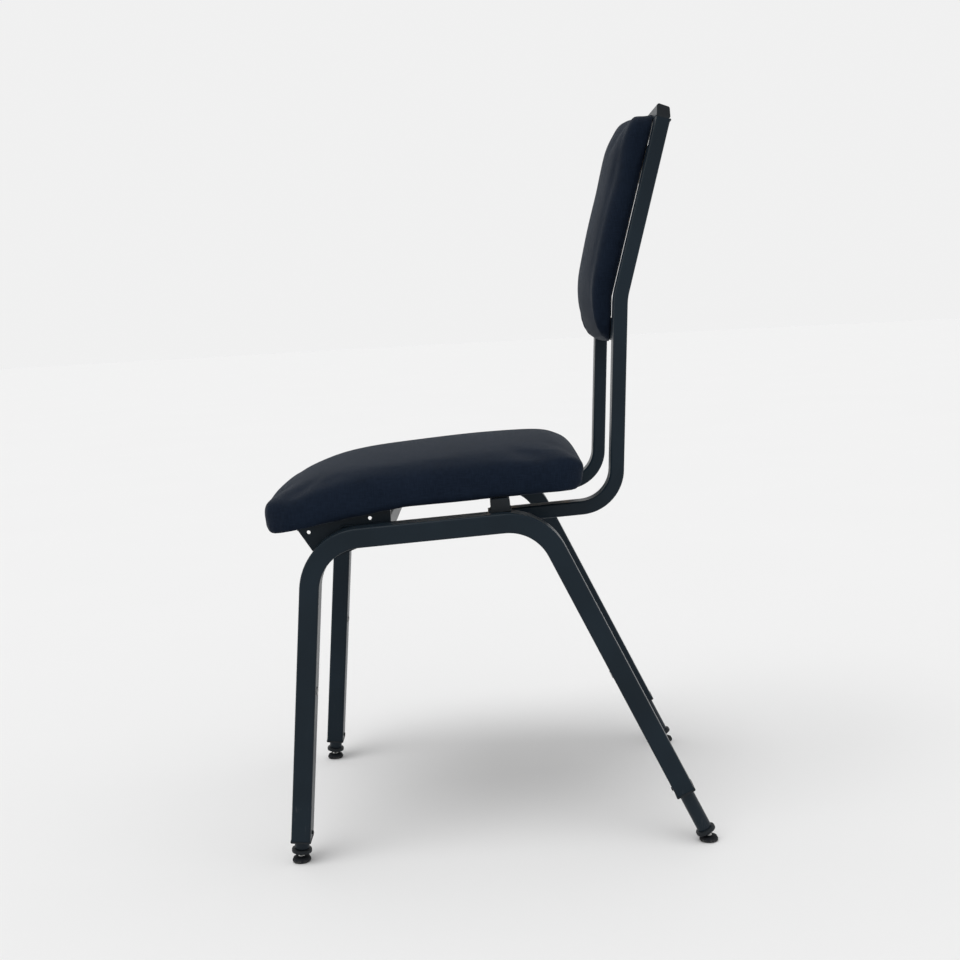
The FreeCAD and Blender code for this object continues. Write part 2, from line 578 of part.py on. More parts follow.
def top_rail_section(start):
    """Face of the top rail's section: it stands on the uprights' square-cut ends, front face upright."""
    front = BACK_TOP - HIGH_OUT * (BACK_TUBE_DEPTH / 2) + V(start, 0, 0)
    rear = BACK_TOP + HIGH_OUT * (BACK_TUBE_DEPTH / 2) + V(start, 0, 0)
    ring = [front, front + V(0, TOP_RAIL_TAPER, TOP_RAIL_FRONT), rear + V(0, -TOP_RAIL_TAPER, TOP_RAIL_REAR),
            rear]
    return Part.Face(Part.makePolygon(ring + ring[:1]))


def soften(shape, radius):
    """Round the edges that run across the chair."""
    long_edges = [e for e in shape.Edges if abs(e.tangentAt(e.FirstParameter).x) > 0.99]
    return shape.makeFillet(radius, long_edges)


def top_rail():
    """Hollow rail across the tops of the uprights."""
    reach = BACK_SPACING / 2 + BACK_TUBE_WIDTH / 2 - END_CAP_THICK
    section = top_rail_section(-reach)
    outer = soften(section.extrude(V(2 * reach, 0, 0)), TOP_RAIL_CORNER)
    inner = section.makeOffset2D(-BACK_TUBE_WALL).extrude(V(2 * reach, 0, 0))
    return outer.cut(soften(inner, TOP_RAIL_CORNER - BACK_TUBE_WALL))


def top_rail_cap(side):
    """Cap in one end of the top rail, flush with the outside of the upright."""
    reach = BACK_SPACING / 2 + BACK_TUBE_WIDTH / 2
    section = top_rail_section(side * (reach - END_CAP_THICK))
    plate = soften(section.extrude(V(side * END_CAP_THICK, 0, 0)), TOP_RAIL_CORNER)
    inner = section.makeOffset2D(-BACK_TUBE_WALL - PRESS_GAP).extrude(V(-side * END_CAP_SPIGOT, 0, 0))
    return plate.fuse(soften(inner, TOP_RAIL_CORNER - BACK_TUBE_WALL)).removeSplitter()


def top_rail_room():
    """Space of the top rail behind the board and the foam, grown by a gap."""
    corner = BACK_TOP - HIGH_OUT * (BACK_TUBE_DEPTH / 2) - V(BACK_PAD_WIDTH, SOFT_GAP, SOFT_GAP)
    return Part.makeBox(2 * BACK_PAD_WIDTH, 2 * BACK_TUBE_DEPTH, 2 * TOP_RAIL_FRONT, corner)


def back_board(grow):
    """Bent plywood behind the back rest's foam, or its pocket when grown."""
    low = BACK_PAD_BOTTOM + BACK_BOARD_INSET - grow
    high = BACK_PAD_TOP - BACK_BOARD_INSET + grow
    rear = BACK_TUBE_DEPTH / 2
    front = rear + BACK_BOARD_THICK + grow
    if grow > 0:
        rear -= 5.0
    profile = [ahead_of_back(low, rear), kink_ahead(rear), ahead_of_back(high, rear),
               ahead_of_back(high, front), kink_ahead(front), ahead_of_back(low, front)]
    return board(BACK_PAD_WIDTH - 2 * (BACK_BOARD_INSET - grow), low, high, BACK_BOARD_CORNER + grow, profile)


def back_cushion():
    """Crowned back rest that follows the bend of the uprights."""
    sections = []
    for z, depth in BACK_PAD_DEPTH:
        half = half_width(z, BACK_PAD_BOTTOM, BACK_PAD_TOP, BACK_PAD_WIDTH,
                          (BACK_PAD_CORNER, BACK_PAD_CORNER), BACK_PAD_DRAW_IN)
        rear = ahead_of_back(z, BACK_TUBE_DEPTH / 2)
        sections.append(pad_section(V(0, rear.y - SOFT_GAP, z), V(1, 0, 0), V(0, -1, 0), half,
                                    depth - SOFT_GAP, BACK_PAD_CROWN, BACK_PAD_SHOULDER))
    foam = Part.makeLoft(sections, True, False)
    return foam.cut([back_board(SOFT_GAP), top_rail_room()])


def cap(end, across, up, outward, width, height, wall, corner):
    """Plastic cap on a tube's end: a plate and a spigot."""
    plate = block(end, across, up, outward, width, height, END_CAP_THICK, corner)
    gap = 2 * (wall + PRESS_GAP)
    spigot = block(end, across, up, outward * -1, width - gap, height - gap, END_CAP_SPIGOT, corner - wall)
    return plate.fuse(spigot).removeSplitter()


def screw(seat, inward, length):
    """Pan head screw with a hexagon socket; seat is the point under its head."""
    r = SCREW_HEAD_DIA / 2
    head = turned([(0, 0), (r, 0), (r, 1.2), (r - 0.7, 2.3), (r - 2.2, SCREW_HEAD), (0, SCREW_HEAD)],
                  seat, inward * -1)
    shank = rod(seat, inward, SCREW_DIA / 2, length)
    socket = hexagon(seat - inward * (SCREW_HEAD - HEX_SOCKET_DEPTH), inward * -1, HEX_SOCKET_AF,
                     HEX_SOCKET_DEPTH + 1)
    return head.fuse(shank).removeSplitter().cut(socket)


def tee_nut(face, outward):
    """Tee nut let into a board: flange on the foam side, barrel toward the screw."""
    flange = rod(face, outward * -1, TNUT_FLANGE_DIA / 2, TNUT_FLANGE)
    barrel = rod(face - outward * TNUT_FLANGE, outward * -1, TNUT_BARREL_DIA / 2, TNUT_BARREL)
    bore = rod(face + outward, outward * -1, SCREW_DIA / 2 + RUNNING_FIT, TNUT_FLANGE + TNUT_BARREL + 2)
    return flange.fuse(barrel).cut(bore).removeSplitter()


def tee_nut_pocket(face, outward, board_thick):
    """Room for a tee nut and its screw in a board."""
    flange = rod(face + outward, outward * -1, TNUT_FLANGE_DIA / 2 + PRESS_GAP, TNUT_FLANGE + 1)
    barrel = rod(face, outward * -1, TNUT_BARREL_DIA / 2 + PRESS_GAP, TNUT_FLANGE + TNUT_BARREL)
    through = rod(face, outward * -1, SCREW_DIA / 2 + SCREW_HOLE_GAP, board_thick + 2)
    return flange.fuse([barrel, through])


def carrier(side):
    """Pressed bracket of the front carrier: a web against the rail and a flange under the board."""
    fall = CARRIER_SHEET / cos(SEAT_FRONT_FALL)

    def top(y):
        return V(0, y, underside(y))

    web = Part.Face(Part.makePolygon([
        top(CARRIER_FRONT_Y), V(0, CARRIER_TOE_Y, RAIL_HEIGHT - CARRIER_TOE_DROP),
        V(0, CARRIER_REAR_Y, RAIL_HEIGHT - CARRIER_HEEL_DROP), top(CARRIER_REAR_Y),
        top(CARRIER_FRONT_Y)])).extrude(V(CARRIER_SHEET, 0, 0))
    flange = Part.Face(Part.makePolygon([
        top(CARRIER_FRONT_Y), top(CARRIER_REAR_Y), top(CARRIER_REAR_Y) - V(0, 0, fall),
        top(CARRIER_FRONT_Y) - V(0, 0, fall), top(CARRIER_FRONT_Y)])).extrude(V(-CARRIER_FLANGE, 0, 0))
    bracket = web.fuse(flange).removeSplitter()
    bracket.translate(V(RAIL_INNER_FACE - CARRIER_SHEET, 0, 0))
    for y, drop in CARRIER_HOLES:
        bracket = bracket.cut(rod(V(0, y, underside(y) - drop), V(1, 0, 0), CARRIER_HOLE_DIA / 2,
                                  FRAME_SPACING))
    for y in FRONT_SCREW_YS:
        up = V(0, -sin(SEAT_FRONT_FALL), cos(SEAT_FRONT_FALL))
        bracket = bracket.cut(rod(V(FRONT_SCREW_X, y, underside(y)) - up * 10, up,
                                  SCREW_DIA / 2 + SCREW_HOLE_GAP, 20))
    return bracket if side > 0 else mirror_x(bracket)


def rails_at_cross(gap):
    """Stretches of both rails under the rear cross tube, grown by a gap."""
    start = RAIL_AT_CROSS - RAIL_WAY * CROSS_DEPTH
    return [block(start + V(side * FRAME_SPACING / 2, 0, 0), V(1, 0, 0), RAIL_UP, RAIL_WAY,
                  LEG_TUBE_WIDTH + 2 * gap, LEG_TUBE_DEPTH + 2 * gap, 2 * CROSS_DEPTH, LEG_TUBE_CORNER)
            for side in (1, -1)]


def rear_cross_tube():
    """Cross tube let down over both rails, drilled for the seat's rear screws."""
    start = REAR_CROSS_MIDDLE - V(REAR_CROSS_END, 0, 0)
    tube = straight_tube(start, RAIL_WAY, RAIL_UP, V(1, 0, 0), CROSS_DEPTH, REAR_CROSS_HEIGHT,
                         2 * REAR_CROSS_END, CROSS_WALL, BACK_TUBE_CORNER)
    tube = tube.cut(rails_at_cross(0))
    for x in REAR_SCREW_XS:
        tube = tube.cut(rod(REAR_CROSS_MIDDLE + V(x, 0, 0) - RAIL_UP * REAR_CROSS_HEIGHT, RAIL_UP,
                            SCREW_DIA / 2 + SCREW_HOLE_GAP, 2 * REAR_CROSS_HEIGHT))
    return tube


def front_cross_tube():
    """Cross tube between the carrier brackets, level with the rails."""
    reach = RAIL_INNER_FACE - CARRIER_SHEET
    middle = V(0, 0, RAIL_HEIGHT) + RAIL_WAY * (FRONT_CROSS_Y / RAIL_WAY.y)
    return straight_tube(middle - V(reach, 0, 0), RAIL_WAY, RAIL_UP, V(1, 0, 0), CROSS_DEPTH,
                         FRONT_CROSS_HEIGHT, 2 * reach, CROSS_WALL, BACK_TUBE_CORNER)


def seat_fasteners():
    """Screw places under the seat: point on the board's underside, direction up, metal under the head."""
    places = []
    front_up = V(0, -sin(SEAT_FRONT_FALL), cos(SEAT_FRONT_FALL))
    for side in (1, -1):
        for y in FRONT_SCREW_YS:
            places.append((V(side * FRONT_SCREW_X, y, underside(y)), front_up, CARRIER_SHEET))
    for x in REAR_SCREW_XS:
        places.append((SEAT_REST + V(x, 0, 0), RAIL_UP, REAR_CROSS_HEIGHT))
    return places


def build():
    os.makedirs("parts", exist_ok=True)
    for name, side in (("left", 1), ("right", -1)):
        save("side_frame_" + name, side_frame(side))
        save("carrier_bracket_" + name, carrier(side))
        save("back_tube_" + name, back_tube(side))
    save("front_cross_tube", front_cross_tube())
    save("rear_cross_tube", rear_cross_tube())
    save("back_top_rail", top_rail())
    save("top_rail_caps", group([top_rail_cap(side) for side in (1, -1)]))
    save("back_upper_rail", back_rail(UPPER_RAIL_MIDDLE, HIGH_WAY, HIGH_OUT, 0))
    save("back_lower_rail", back_rail(LOWER_RAIL_MIDDLE, LOW_WAY, LOW_OUT, LOWER_SCREW_UP))

    for name, side, place in LEGS:
        leg = Leg(side, place)
        save("guide_bush_" + name, guide_bush(leg))
        save("inner_leg_" + name, inner_leg(leg))
        save("guide_block_" + name, guide_block(leg))
        save("foot_plug_" + name, foot_plug(leg))
        save("ball_stud_" + name, ball_stud(leg))
        save("foot_pad_" + name, foot_pad(leg))
        save("clamp_screw_" + name, clamp_screw(leg))
    save("clamp_inserts", group([clamp_insert(Leg(side, place)) for _, side, place in LEGS]))

    across = V(1, 0, 0)
    save("cross_tube_caps", group([
        cap(REAR_CROSS_MIDDLE + across * (side * REAR_CROSS_END), RAIL_WAY, RAIL_UP, across * side,
            CROSS_DEPTH, REAR_CROSS_HEIGHT, CROSS_WALL, BACK_TUBE_CORNER).cut(rails_at_cross(SOFT_GAP))
        for side in (1, -1)]))
    save("back_run_caps", group([
        cap(BACK_START + across * (side * BACK_SPACING / 2), across, RAIL_UP, RAIL_WAY * -1,
            BACK_TUBE_WIDTH, BACK_TUBE_DEPTH, BACK_TUBE_WALL, BACK_TUBE_CORNER) for side in (1, -1)]))

    panel = seat_board(0)
    nuts, screws = [], []
    for place, up, metal in seat_fasteners():
        face = place + up * SEAT_BOARD_THICK
        panel = panel.cut(tee_nut_pocket(face, up, SEAT_BOARD_THICK))
        nuts.append(tee_nut(face, up))
        screws.append(screw(place - up * metal, up, metal + SEAT_BOARD_THICK - 0.5))
    save("seat_board", panel)
    save("seat_tee_nuts", group(nuts))
    save("seat_screws", group(screws))
    save("seat_cushion", seat_cushion())

    panel = back_board(0).cut(top_rail_room())
    nuts, screws = [], []
    for middle, out in ((UPPER_RAIL_MIDDLE, HIGH_OUT), (LOWER_RAIL_MIDDLE + LOW_WAY * LOWER_SCREW_UP, LOW_OUT)):
        for x in (-BACK_SCREW_X, BACK_SCREW_X):
            seat = middle + V(x, 0, 0) + out * (BACK_TUBE_DEPTH / 2)
            face = seat - out * (BACK_TUBE_DEPTH + BACK_BOARD_THICK)
            panel = panel.cut(tee_nut_pocket(face, out * -1, BACK_BOARD_THICK))
            nuts.append(tee_nut(face, out * -1))
            screws.append(screw(seat, out * -1, BACK_TUBE_DEPTH + BACK_BOARD_THICK - 0.5))
    save("back_board", panel)
    save("back_tee_nuts", group(nuts))
    save("back_screws", group(screws))
    save("back_cushion", back_cushion())


build()
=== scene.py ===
"""Choir chair with telescopic legs, dressed on its CAD frame.

The tubes, feet and fasteners keep their CAD shapes and get their finishes here. The two cushions are
inflated by a cloth simulation, and weld beads, dust cloths and staples are added. Metres, in the CAD frame:
X across the chair, the sitter faces -Y, Z up.
"""

import math

import bmesh
import bpy
from bpy.props import FloatProperty, FloatVectorProperty, IntProperty, PointerProperty
from mathutils import Matrix, Vector, noise
from mathutils.bvhtree import BVHTree


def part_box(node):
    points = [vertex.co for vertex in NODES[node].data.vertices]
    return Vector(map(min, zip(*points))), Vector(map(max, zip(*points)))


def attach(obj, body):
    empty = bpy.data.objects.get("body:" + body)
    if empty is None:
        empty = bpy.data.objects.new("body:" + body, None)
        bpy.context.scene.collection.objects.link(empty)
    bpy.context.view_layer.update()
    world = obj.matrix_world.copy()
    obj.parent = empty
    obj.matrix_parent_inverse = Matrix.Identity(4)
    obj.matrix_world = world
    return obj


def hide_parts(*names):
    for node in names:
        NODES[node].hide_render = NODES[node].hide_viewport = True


bl_info = {
    "name": "Choir chair",
    "version": (1, 0, 0),
    "blender": (4, 5, 0),
    "location": "3D View > Sidebar > Chair",
    "description": "Finishes, cushions, welds and a photo stage for a choir chair",
    "category": "Object",
}

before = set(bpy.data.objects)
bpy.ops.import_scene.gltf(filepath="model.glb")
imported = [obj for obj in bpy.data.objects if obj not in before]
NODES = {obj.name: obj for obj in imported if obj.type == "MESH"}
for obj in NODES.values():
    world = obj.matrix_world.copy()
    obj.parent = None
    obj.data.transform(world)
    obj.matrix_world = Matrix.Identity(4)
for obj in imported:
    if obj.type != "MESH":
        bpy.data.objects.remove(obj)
LEGS = ("front_left", "front_right", "rear_left", "rear_right")
SIDES = (1, -1)

# The frame's lines that the added pieces follow, in metres, with angles written in degrees
RAIL_RISE = math.radians(2.8)
RAIL_HEIGHT = 0.4293
RAIL_INNER_X = 0.190
RAIL_HALF_DEPTH = 0.0125
CROSS_HALF_DEPTH = 0.0125
FRONT_CROSS_Y = -0.1325
FRONT_CROSS_HALF = 0.0125
CARRIER_SHEET = 0.003
REAR_CROSS = Vector((0, 0.02404, 0.4488))
REAR_CROSS_HALF = 0.011
UPRIGHT_X = 0.134
UPRIGHT_HALF_WIDTH = 0.015
UPRIGHT_HALF_DEPTH = 0.009
TOP_REAR = Vector((0, 0.26377, 0.92255))
UPPER_RAIL = Vector((0, 0.24238, 0.880))
LOWER_RAIL = Vector((0, 0.18995, 0.663))
BACK_RAIL_HALF = 0.015

# The bent boards: where they turn, how they lean, and the back board's rounded upper corners
SEAT_KINK = Vector((0, -0.0996, 0.45376))
SEAT_FALL = math.radians(9.0)
BACK_KINK = Vector((0, 0.18357, 0.70522))
LOW_LEAN = math.radians(3.57)
HIGH_LEAN = math.radians(15.8)
BACK_BOARD_HALF = 0.1085
CORNER_HEIGHT = 0.906
CORNER_X = 0.086
CORNER_RADIUS = 0.0225

# Cushions: distances from the wood or above the stapled edge between which the cover comes free
ON_BOARD = (0.004, 0.010)
SEAT_STAPLED = (0.006, 0.016)
BACK_STAPLED = (0.007, 0.014)
TOUCHING = 0.0008
LONG_EDGE = 0.03
BACK_VOXEL_SHARE = 0.64
SWELL_SLACK = 0.0002
RIM_REACH = 4.5
RIM_LEAST = 0.0003

# The seat's gathers and the fuller crown of the back pad
SEAT_HALF_DEPTH = 0.28
SEAT_MIDDLE_Y = -0.073
GATHER_PITCH = 0.034
CROWN_HEIGHTS = (0.840, 0.935)
CROWN_DEPTHS = (0.002, 0.034)
CROWN_LIFT = Vector((0, -0.0034, 0.0062))

# Weld beads: half the length and the radius of each kind, and the places that no tube gives
WELDS = {
    "rail": (0.0070, 0.0021),
    "upright": (0.0115, 0.0019),
    "carrier": (0.0095, 0.0019),
    "flange": (0.0090, 0.0018),
    "back_rail": (0.0115, 0.0018),
    "back_rail_end": (0.0055, 0.0018),
}
RAIL_WELD_X = 0.1995
FLANGE_WELD_Y = (-0.172, -0.136)
FLANGE_WELD_DROP = 0.0006
BEAD_STEP = 0.0007
BEAD_TIP = 0.3

# Dust cloths and their staples
CLOTH_GRID = (36, 28)
CLOTH_THICKNESS = 0.0005
BACK_CLOTH_HALF = 0.108
BACK_CLOTH_TOP = 0.9276
RAIL_ROOM = 0.0015
STAPLE_SIZE = (0.0098, 0.0011, 0.0007)
STAPLE_BEVEL = 0.00022
STAPLE_PITCH = 0.05
STAPLE_INSET = 0.006
STAPLE_STAND = 0.0012

# The photograph's camera, found from the chair's own lines, and the light
CAMERA_PLACE = Vector((1.891, 0.008, 0.684))
CAMERA_LENS = 50.625
CAMERA_DOWN = math.radians(6.75)
CAMERA_ASIDE = math.radians(0.27)
CAMERA_ROLL = math.radians(3.03)
FLOOR_RADIUS = 40.0
SUN_WAY = Vector((-0.34, 0.26, -1.0))
SUN_SPREAD = math.radians(38)
FADE_HEIGHTS = (0.25, 0.70)


def seat_underside(y):
    """Height of the seat board's underside."""
    slope = RAIL_RISE if y > SEAT_KINK.y else SEAT_FALL
    return SEAT_KINK.z + (y - SEAT_KINK.y) * math.tan(slope)


def board_rear(z):
    """Depth of the back board's rear face at a height."""
    lean = LOW_LEAN if z < BACK_KINK.z else HIGH_LEAN
    return BACK_KINK.y + (z - BACK_KINK.z) * math.tan(lean)


def corner_share(z):
    """Part of the back board's width that is left between its rounded corners at a height."""
    past = max(0.0, z - CORNER_HEIGHT)
    return (CORNER_X + math.sqrt(max(CORNER_RADIUS ** 2 - past ** 2, 0.0))) / BACK_BOARD_HALF


def smooth_step(low, high, value):
    """0 below low, 1 above high, smooth between."""
    share = min(max((value - low) / (high - low), 0.0), 1.0)
    return share * share * (3 - 2 * share)


# Shader sums


class Signal:
    """A shader socket that can be added, multiplied and mixed like a number."""

    def __init__(self, finish, socket):
        self.finish = finish
        self.socket = socket

    def maths(self, operation, *terms):
        return self.finish.node("ShaderNodeMath", {"operation": operation}, dict(enumerate(terms)))

    def __add__(self, other):
        return self.maths("ADD", self, other)

    def __radd__(self, other):
        return self.maths("ADD", other, self)

    def __sub__(self, other):
        return self.maths("SUBTRACT", self, other)

    def __rsub__(self, other):
        return self.maths("SUBTRACT", other, self)

    def __mul__(self, other):
        return self.maths("MULTIPLY", self, other)

    def __abs__(self):
        return self.maths("ABSOLUTE", self)

    def sine(self):
        return self.maths("SINE", self)

    def ease(self, low, high):
        """0 below low, 1 above high, smooth between."""
        return self.finish.node("ShaderNodeMapRange", {"interpolation_type": "SMOOTHSTEP"},
                                {"Value": self, "From Min": low, "From Max": high})


class Finish:
    """One procedural material on the Principled shader."""

    def __init__(self, name, **constants):
        self.material = bpy.data.materials.new(name)
        self.material.use_nodes = True
        self.tree = self.material.node_tree
        self.shader = next(n for n in self.tree.nodes if n.type == "BSDF_PRINCIPLED")
        for socket, value in constants.items():
            self.shader.inputs[socket.replace("_", " ")].default_value = value

    def node(self, kind, settings, sockets, output=0):
        """Add a node: its settings first, then a value or a link for each socket."""
        made = self.tree.nodes.new(kind)
        for key, value in settings.items():
            setattr(made, key, value)
        for key, value in sockets.items():
            socket = made.inputs[key]
            if isinstance(value, Signal):
                self.tree.links.new(value.socket, socket)
            else:
                socket.default_value = (*value, 1) if socket.type == "RGBA" else value
        return Signal(self, made.outputs[output])

    def place(self):
        """Object coordinates."""
        return self.node("ShaderNodeTexCoord", {}, {}, "Object")

    def scaled(self, vector, x, y, z):
        return self.node("ShaderNodeMapping", {}, {"Vector": vector, "Scale": (x, y, z)})

    def parts(self, vector):
        """The three numbers of a vector."""
        first = self.node("ShaderNodeSeparateXYZ", {}, {"Vector": vector})
        outputs = first.socket.node.outputs
        return first, Signal(self, outputs[1]), Signal(self, outputs[2])

    def speckle(self, vector, scale, detail=3.0, roughness=0.5):
        return self.node("ShaderNodeTexNoise", {}, {"Vector": vector, "Scale": scale, "Detail": detail,
                                                    "Roughness": roughness})

    def mix(self, share, first, second):
        """Blend of two colours."""
        return self.node("ShaderNodeMix", {"data_type": "RGBA"}, {0: share, 6: first, 7: second}, 2)

    def paint(self, socket, signal):
        self.tree.links.new(signal.socket, self.shader.inputs[socket])

    def bump(self, height, distance, strength):
        self.paint("Normal", self.node("ShaderNodeBump", {}, {"Height": height, "Distance": distance,
                                                              "Strength": strength}))


def shade(colour, factor):
    return tuple(channel * factor for channel in colour)


def powder_coat(name, colour, gloss):
    """Satin powder coat: orange peel, faint colour drift and scuffs near the floor."""
    finish = Finish(name, Metallic=0.0, Specular_IOR_Level=0.12)
    place = finish.place()
    drift = finish.speckle(place, 9.0, 3.0)
    scratches = finish.speckle(finish.scaled(place, 900.0, 900.0, 60.0), 1.0, 2.0)
    _, _, height = finish.parts(place)
    low = 1.0 - height.ease(0.05, 0.22)
    scuffs = scratches.ease(0.66, 0.74) * low * finish.speckle(place, 45.0).ease(0.5, 0.62)
    body = finish.mix(drift.ease(0.3, 0.7), shade(colour, 0.88), shade(colour, 1.14))
    finish.paint("Base Color", finish.mix(scuffs * 0.35, body, (0.10, 0.105, 0.11)))
    peel = finish.speckle(place, 620.0, 2.0, 0.4)
    finish.paint("Roughness", gloss + (drift - 0.5) * 0.12 + scuffs * 0.25 + (peel - 0.5) * 0.06)
    finish.bump(peel * 0.7 + finish.speckle(place, 1700.0, 1.0) * 0.3, 0.00016, 0.5)
    return finish.material


def slide_tube(name, colour, gloss):
    """Coated inner leg with fine marks from sliding in its bush."""
    finish = Finish(name, Metallic=0.0, Specular_IOR_Level=0.16)
    place = finish.place()
    marks = finish.speckle(finish.scaled(place, 1500.0, 1500.0, 14.0), 1.0, 3.0)
    patches = finish.speckle(place, 30.0, 2.0).ease(0.42, 0.62)
    worn = marks.ease(0.6, 0.72) * patches
    finish.paint("Base Color", finish.mix(worn * 0.5, colour, (0.12, 0.125, 0.13)))
    finish.paint("Roughness", gloss - worn * 0.08 + (finish.speckle(place, 60.0) - 0.5) * 0.1)
    finish.bump(marks, 0.00005, 0.4)
    return finish.material


def moulded_plastic(name, colour):
    """Spark-grained black plastic."""
    finish = Finish(name, Metallic=0.0, Specular_IOR_Level=0.2)
    place = finish.place()
    grain = finish.speckle(place, 2100.0, 2.0, 0.6)
    cloud = finish.speckle(place, 80.0, 2.0)
    finish.paint("Base Color", finish.mix(cloud.ease(0.3, 0.7), shade(colour, 0.85), shade(colour, 1.2)))
    finish.paint("Roughness", 0.46 + (grain - 0.5) * 0.16 + (cloud - 0.5) * 0.08)
    finish.bump(grain, 0.00012, 0.55)
    return finish.material


def floor_rubber(name, colour):
    """Matt rubber, greyed with floor dust toward its sole."""
    finish = Finish(name, Metallic=0.0, Specular_IOR_Level=0.15)
    place = finish.place()
    _, _, height = finish.parts(place)
    dust = (1.0 - height.ease(0.0005, 0.006)) * finish.speckle(place, 320.0, 4.0).ease(0.35, 0.7)
    finish.paint("Base Color", finish.mix(dust * 0.5, colour, (0.17, 0.165, 0.155)))
    grain = finish.speckle(place, 1500.0, 3.0, 0.6)
    finish.paint("Roughness", 0.72 + dust * 0.2 + (grain - 0.5) * 0.1)
    finish.bump(grain, 0.0001, 0.5)
    return finish.material


def turned_steel(name, colour, gloss):
    """Small steel part with fine machining marks."""
    finish = Finish(name, Metallic=1.0)
    place = finish.place()
    marks = finish.speckle(finish.scaled(place, 400.0, 400.0, 6000.0), 1.0, 2.0)
    stain = finish.speckle(place, 240.0, 3.0).ease(0.45, 0.75)
    finish.paint("Base Color", finish.mix(stain * 0.5, colour, shade(colour, 0.6)))
    finish.paint("Roughness", gloss + (marks - 0.5) * 0.2 + stain * 0.12)
    finish.bump(marks, 0.00004, 0.4)
    return finish.material


def birch_ply(name, along):
    """Bent birch plywood, grain along one axis, under clear varnish."""
    finish = Finish(name, Metallic=0.0, Coat_Weight=0.15, Coat_Roughness=0.35)
    place = finish.place()
    stretch = [70.0, 70.0, 70.0]
    stretch[along] = 3.2
    fibre = [900.0, 900.0, 900.0]
    fibre[along] = 26.0
    flow = finish.speckle(finish.scaled(place, *stretch), 1.0, 4.0, 0.6)
    rings = abs((flow * 40.0).sine())
    fine = finish.speckle(finish.scaled(place, *fibre), 1.0, 3.0, 0.6)
    pale = finish.mix(rings * 0.5 + fine * 0.4, (0.60, 0.43, 0.26), (0.42, 0.27, 0.14))
    finish.paint("Base Color", finish.mix(fine.ease(0.62, 0.72) * 0.35, pale, (0.27, 0.16, 0.08)))
    finish.paint("Roughness", 0.42 + fine * 0.14)
    finish.bump(fine * 0.7 + rings * 0.3, 0.0001, 0.4)
    return finish.material


def upholstery(name, dark, light, pitch):
    """Plain weave of melange yarn, drawn on the piece's own cloth map in metres, with painted shade that
    darkens the hollows between the yarns and lightens their crowns.
    """
    finish = Finish(name, Metallic=0.0, Sheen_Weight=0.12, Sheen_Roughness=0.35, Specular_IOR_Level=0.06)
    finish.shader.inputs["Sheen Tint"].default_value = (0.88, 0.94, 1.0, 1)
    weave = finish.node("ShaderNodeUVMap", {"uv_map": "cloth"}, {})
    across, along, _ = finish.parts(weave)
    warp = (across * (math.pi / pitch)).sine()
    weft = (along * (math.pi / pitch)).sine()
    over = (warp * weft).ease(-0.25, 0.25)
    warp_top = abs(warp) * (0.5 + abs(weft) * 0.5)
    weft_top = abs(weft) * (0.5 + abs(warp) * 0.5)
    height = over * warp_top + (1.0 - over) * weft_top
    warp_yarn = finish.speckle(finish.scaled(weave, 1 / pitch, 90.0, 1.0), 1.0, 2.0)
    weft_yarn = finish.speckle(finish.scaled(weave, 90.0, 1 / pitch, 1.0), 1.0, 2.0)
    yarn = (over * warp_yarn + (1.0 - over) * weft_yarn).ease(0.32, 0.68)
    place = finish.place()
    cloud = finish.speckle(place, 16.0, 4.0, 0.6)
    # Colour from the melange yarn and a random cloud, plus painted shade: the weave's height lightens the
    # yarn crowns and darkens the hollows between them.
    yarn_tone_and_weave_shade = yarn * 0.5 + height * 0.3 + cloud.ease(0.3, 0.7) * 0.2
    finish.paint("Base Color", finish.mix(yarn_tone_and_weave_shade, dark, light))
    finish.paint("Roughness", 0.82 + (1.0 - height) * 0.12)
    fuzz = finish.speckle(place, 1900.0, 3.0, 0.7)
    finish.bump(height * 0.85 + fuzz * 0.15, 0.00035, 0.7)
    return finish.material


def dust_cloth(name, colour):
    """Thin black non-woven cloth with pressed dots."""
    finish = Finish(name, Metallic=0.0, Sheen_Weight=0.15, Specular_IOR_Level=0.2)
    place = finish.place()
    fibre = finish.speckle(place, 1300.0, 4.0, 0.7)
    dots = finish.node("ShaderNodeTexVoronoi", {"feature": "F1"}, {"Vector": place, "Scale": 520.0},
                       "Distance").ease(0.15, 0.45)
    finish.paint("Base Color", finish.mix(fibre.ease(0.35, 0.7), shade(colour, 0.75), shade(colour, 1.5)))
    finish.paint("Roughness", 0.8 + fibre * 0.15)
    finish.bump(dots * 0.6 + fibre * 0.4, 0.00015, 0.6)
    return finish.material


def stage_paint(name, colour):
    """Matt studio floor with a barely visible mottle."""
    finish = Finish(name, Metallic=0.0, Specular_IOR_Level=0.0, Roughness=1.0)
    cloud = finish.speckle(finish.place(), 1.5, 2.0)
    finish.paint("Base Color", finish.mix(cloud.ease(0.3, 0.7), shade(colour, 0.995), colour))
    return finish.material


def dress(names, material):
    """Give CAD nodes a finish on their objects' own slots."""
    for name in names:
        piece = NODES[name]
        for place in piece.material_slots:
            place.link = "OBJECT"
            place.material = material


def finished(name, shape, material, body, smooth=True):
    """Turn a bmesh into a piece that rides on a body."""
    mesh = bpy.data.meshes.new(name)
    shape.to_mesh(mesh)
    shape.free()
    piece = bpy.data.objects.new(name, mesh)
    bpy.context.scene.collection.objects.link(piece)
    mesh.materials.append(material)
    if smooth:
        mesh.polygons.foreach_set("use_smooth", [True] * len(mesh.polygons))
    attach(piece, body)
    return piece


# Cushions


def merged_copy(node):
    """Closed bmesh of a CAD node."""
    shape = bmesh.new()
    shape.from_mesh(NODES[node].data)
    bmesh.ops.remove_doubles(shape, verts=shape.verts[:], dist=0.00002)
    bmesh.ops.recalc_face_normals(shape, faces=shape.faces[:])
    return shape


def applied(piece):
    """Replace a piece's mesh with the result of its modifiers."""
    graph = bpy.context.evaluated_depsgraph_get()
    mesh = bpy.data.meshes.new_from_object(piece.evaluated_get(graph))
    old = piece.data
    piece.modifiers.clear()
    piece.data = mesh
    bpy.data.meshes.remove(old)


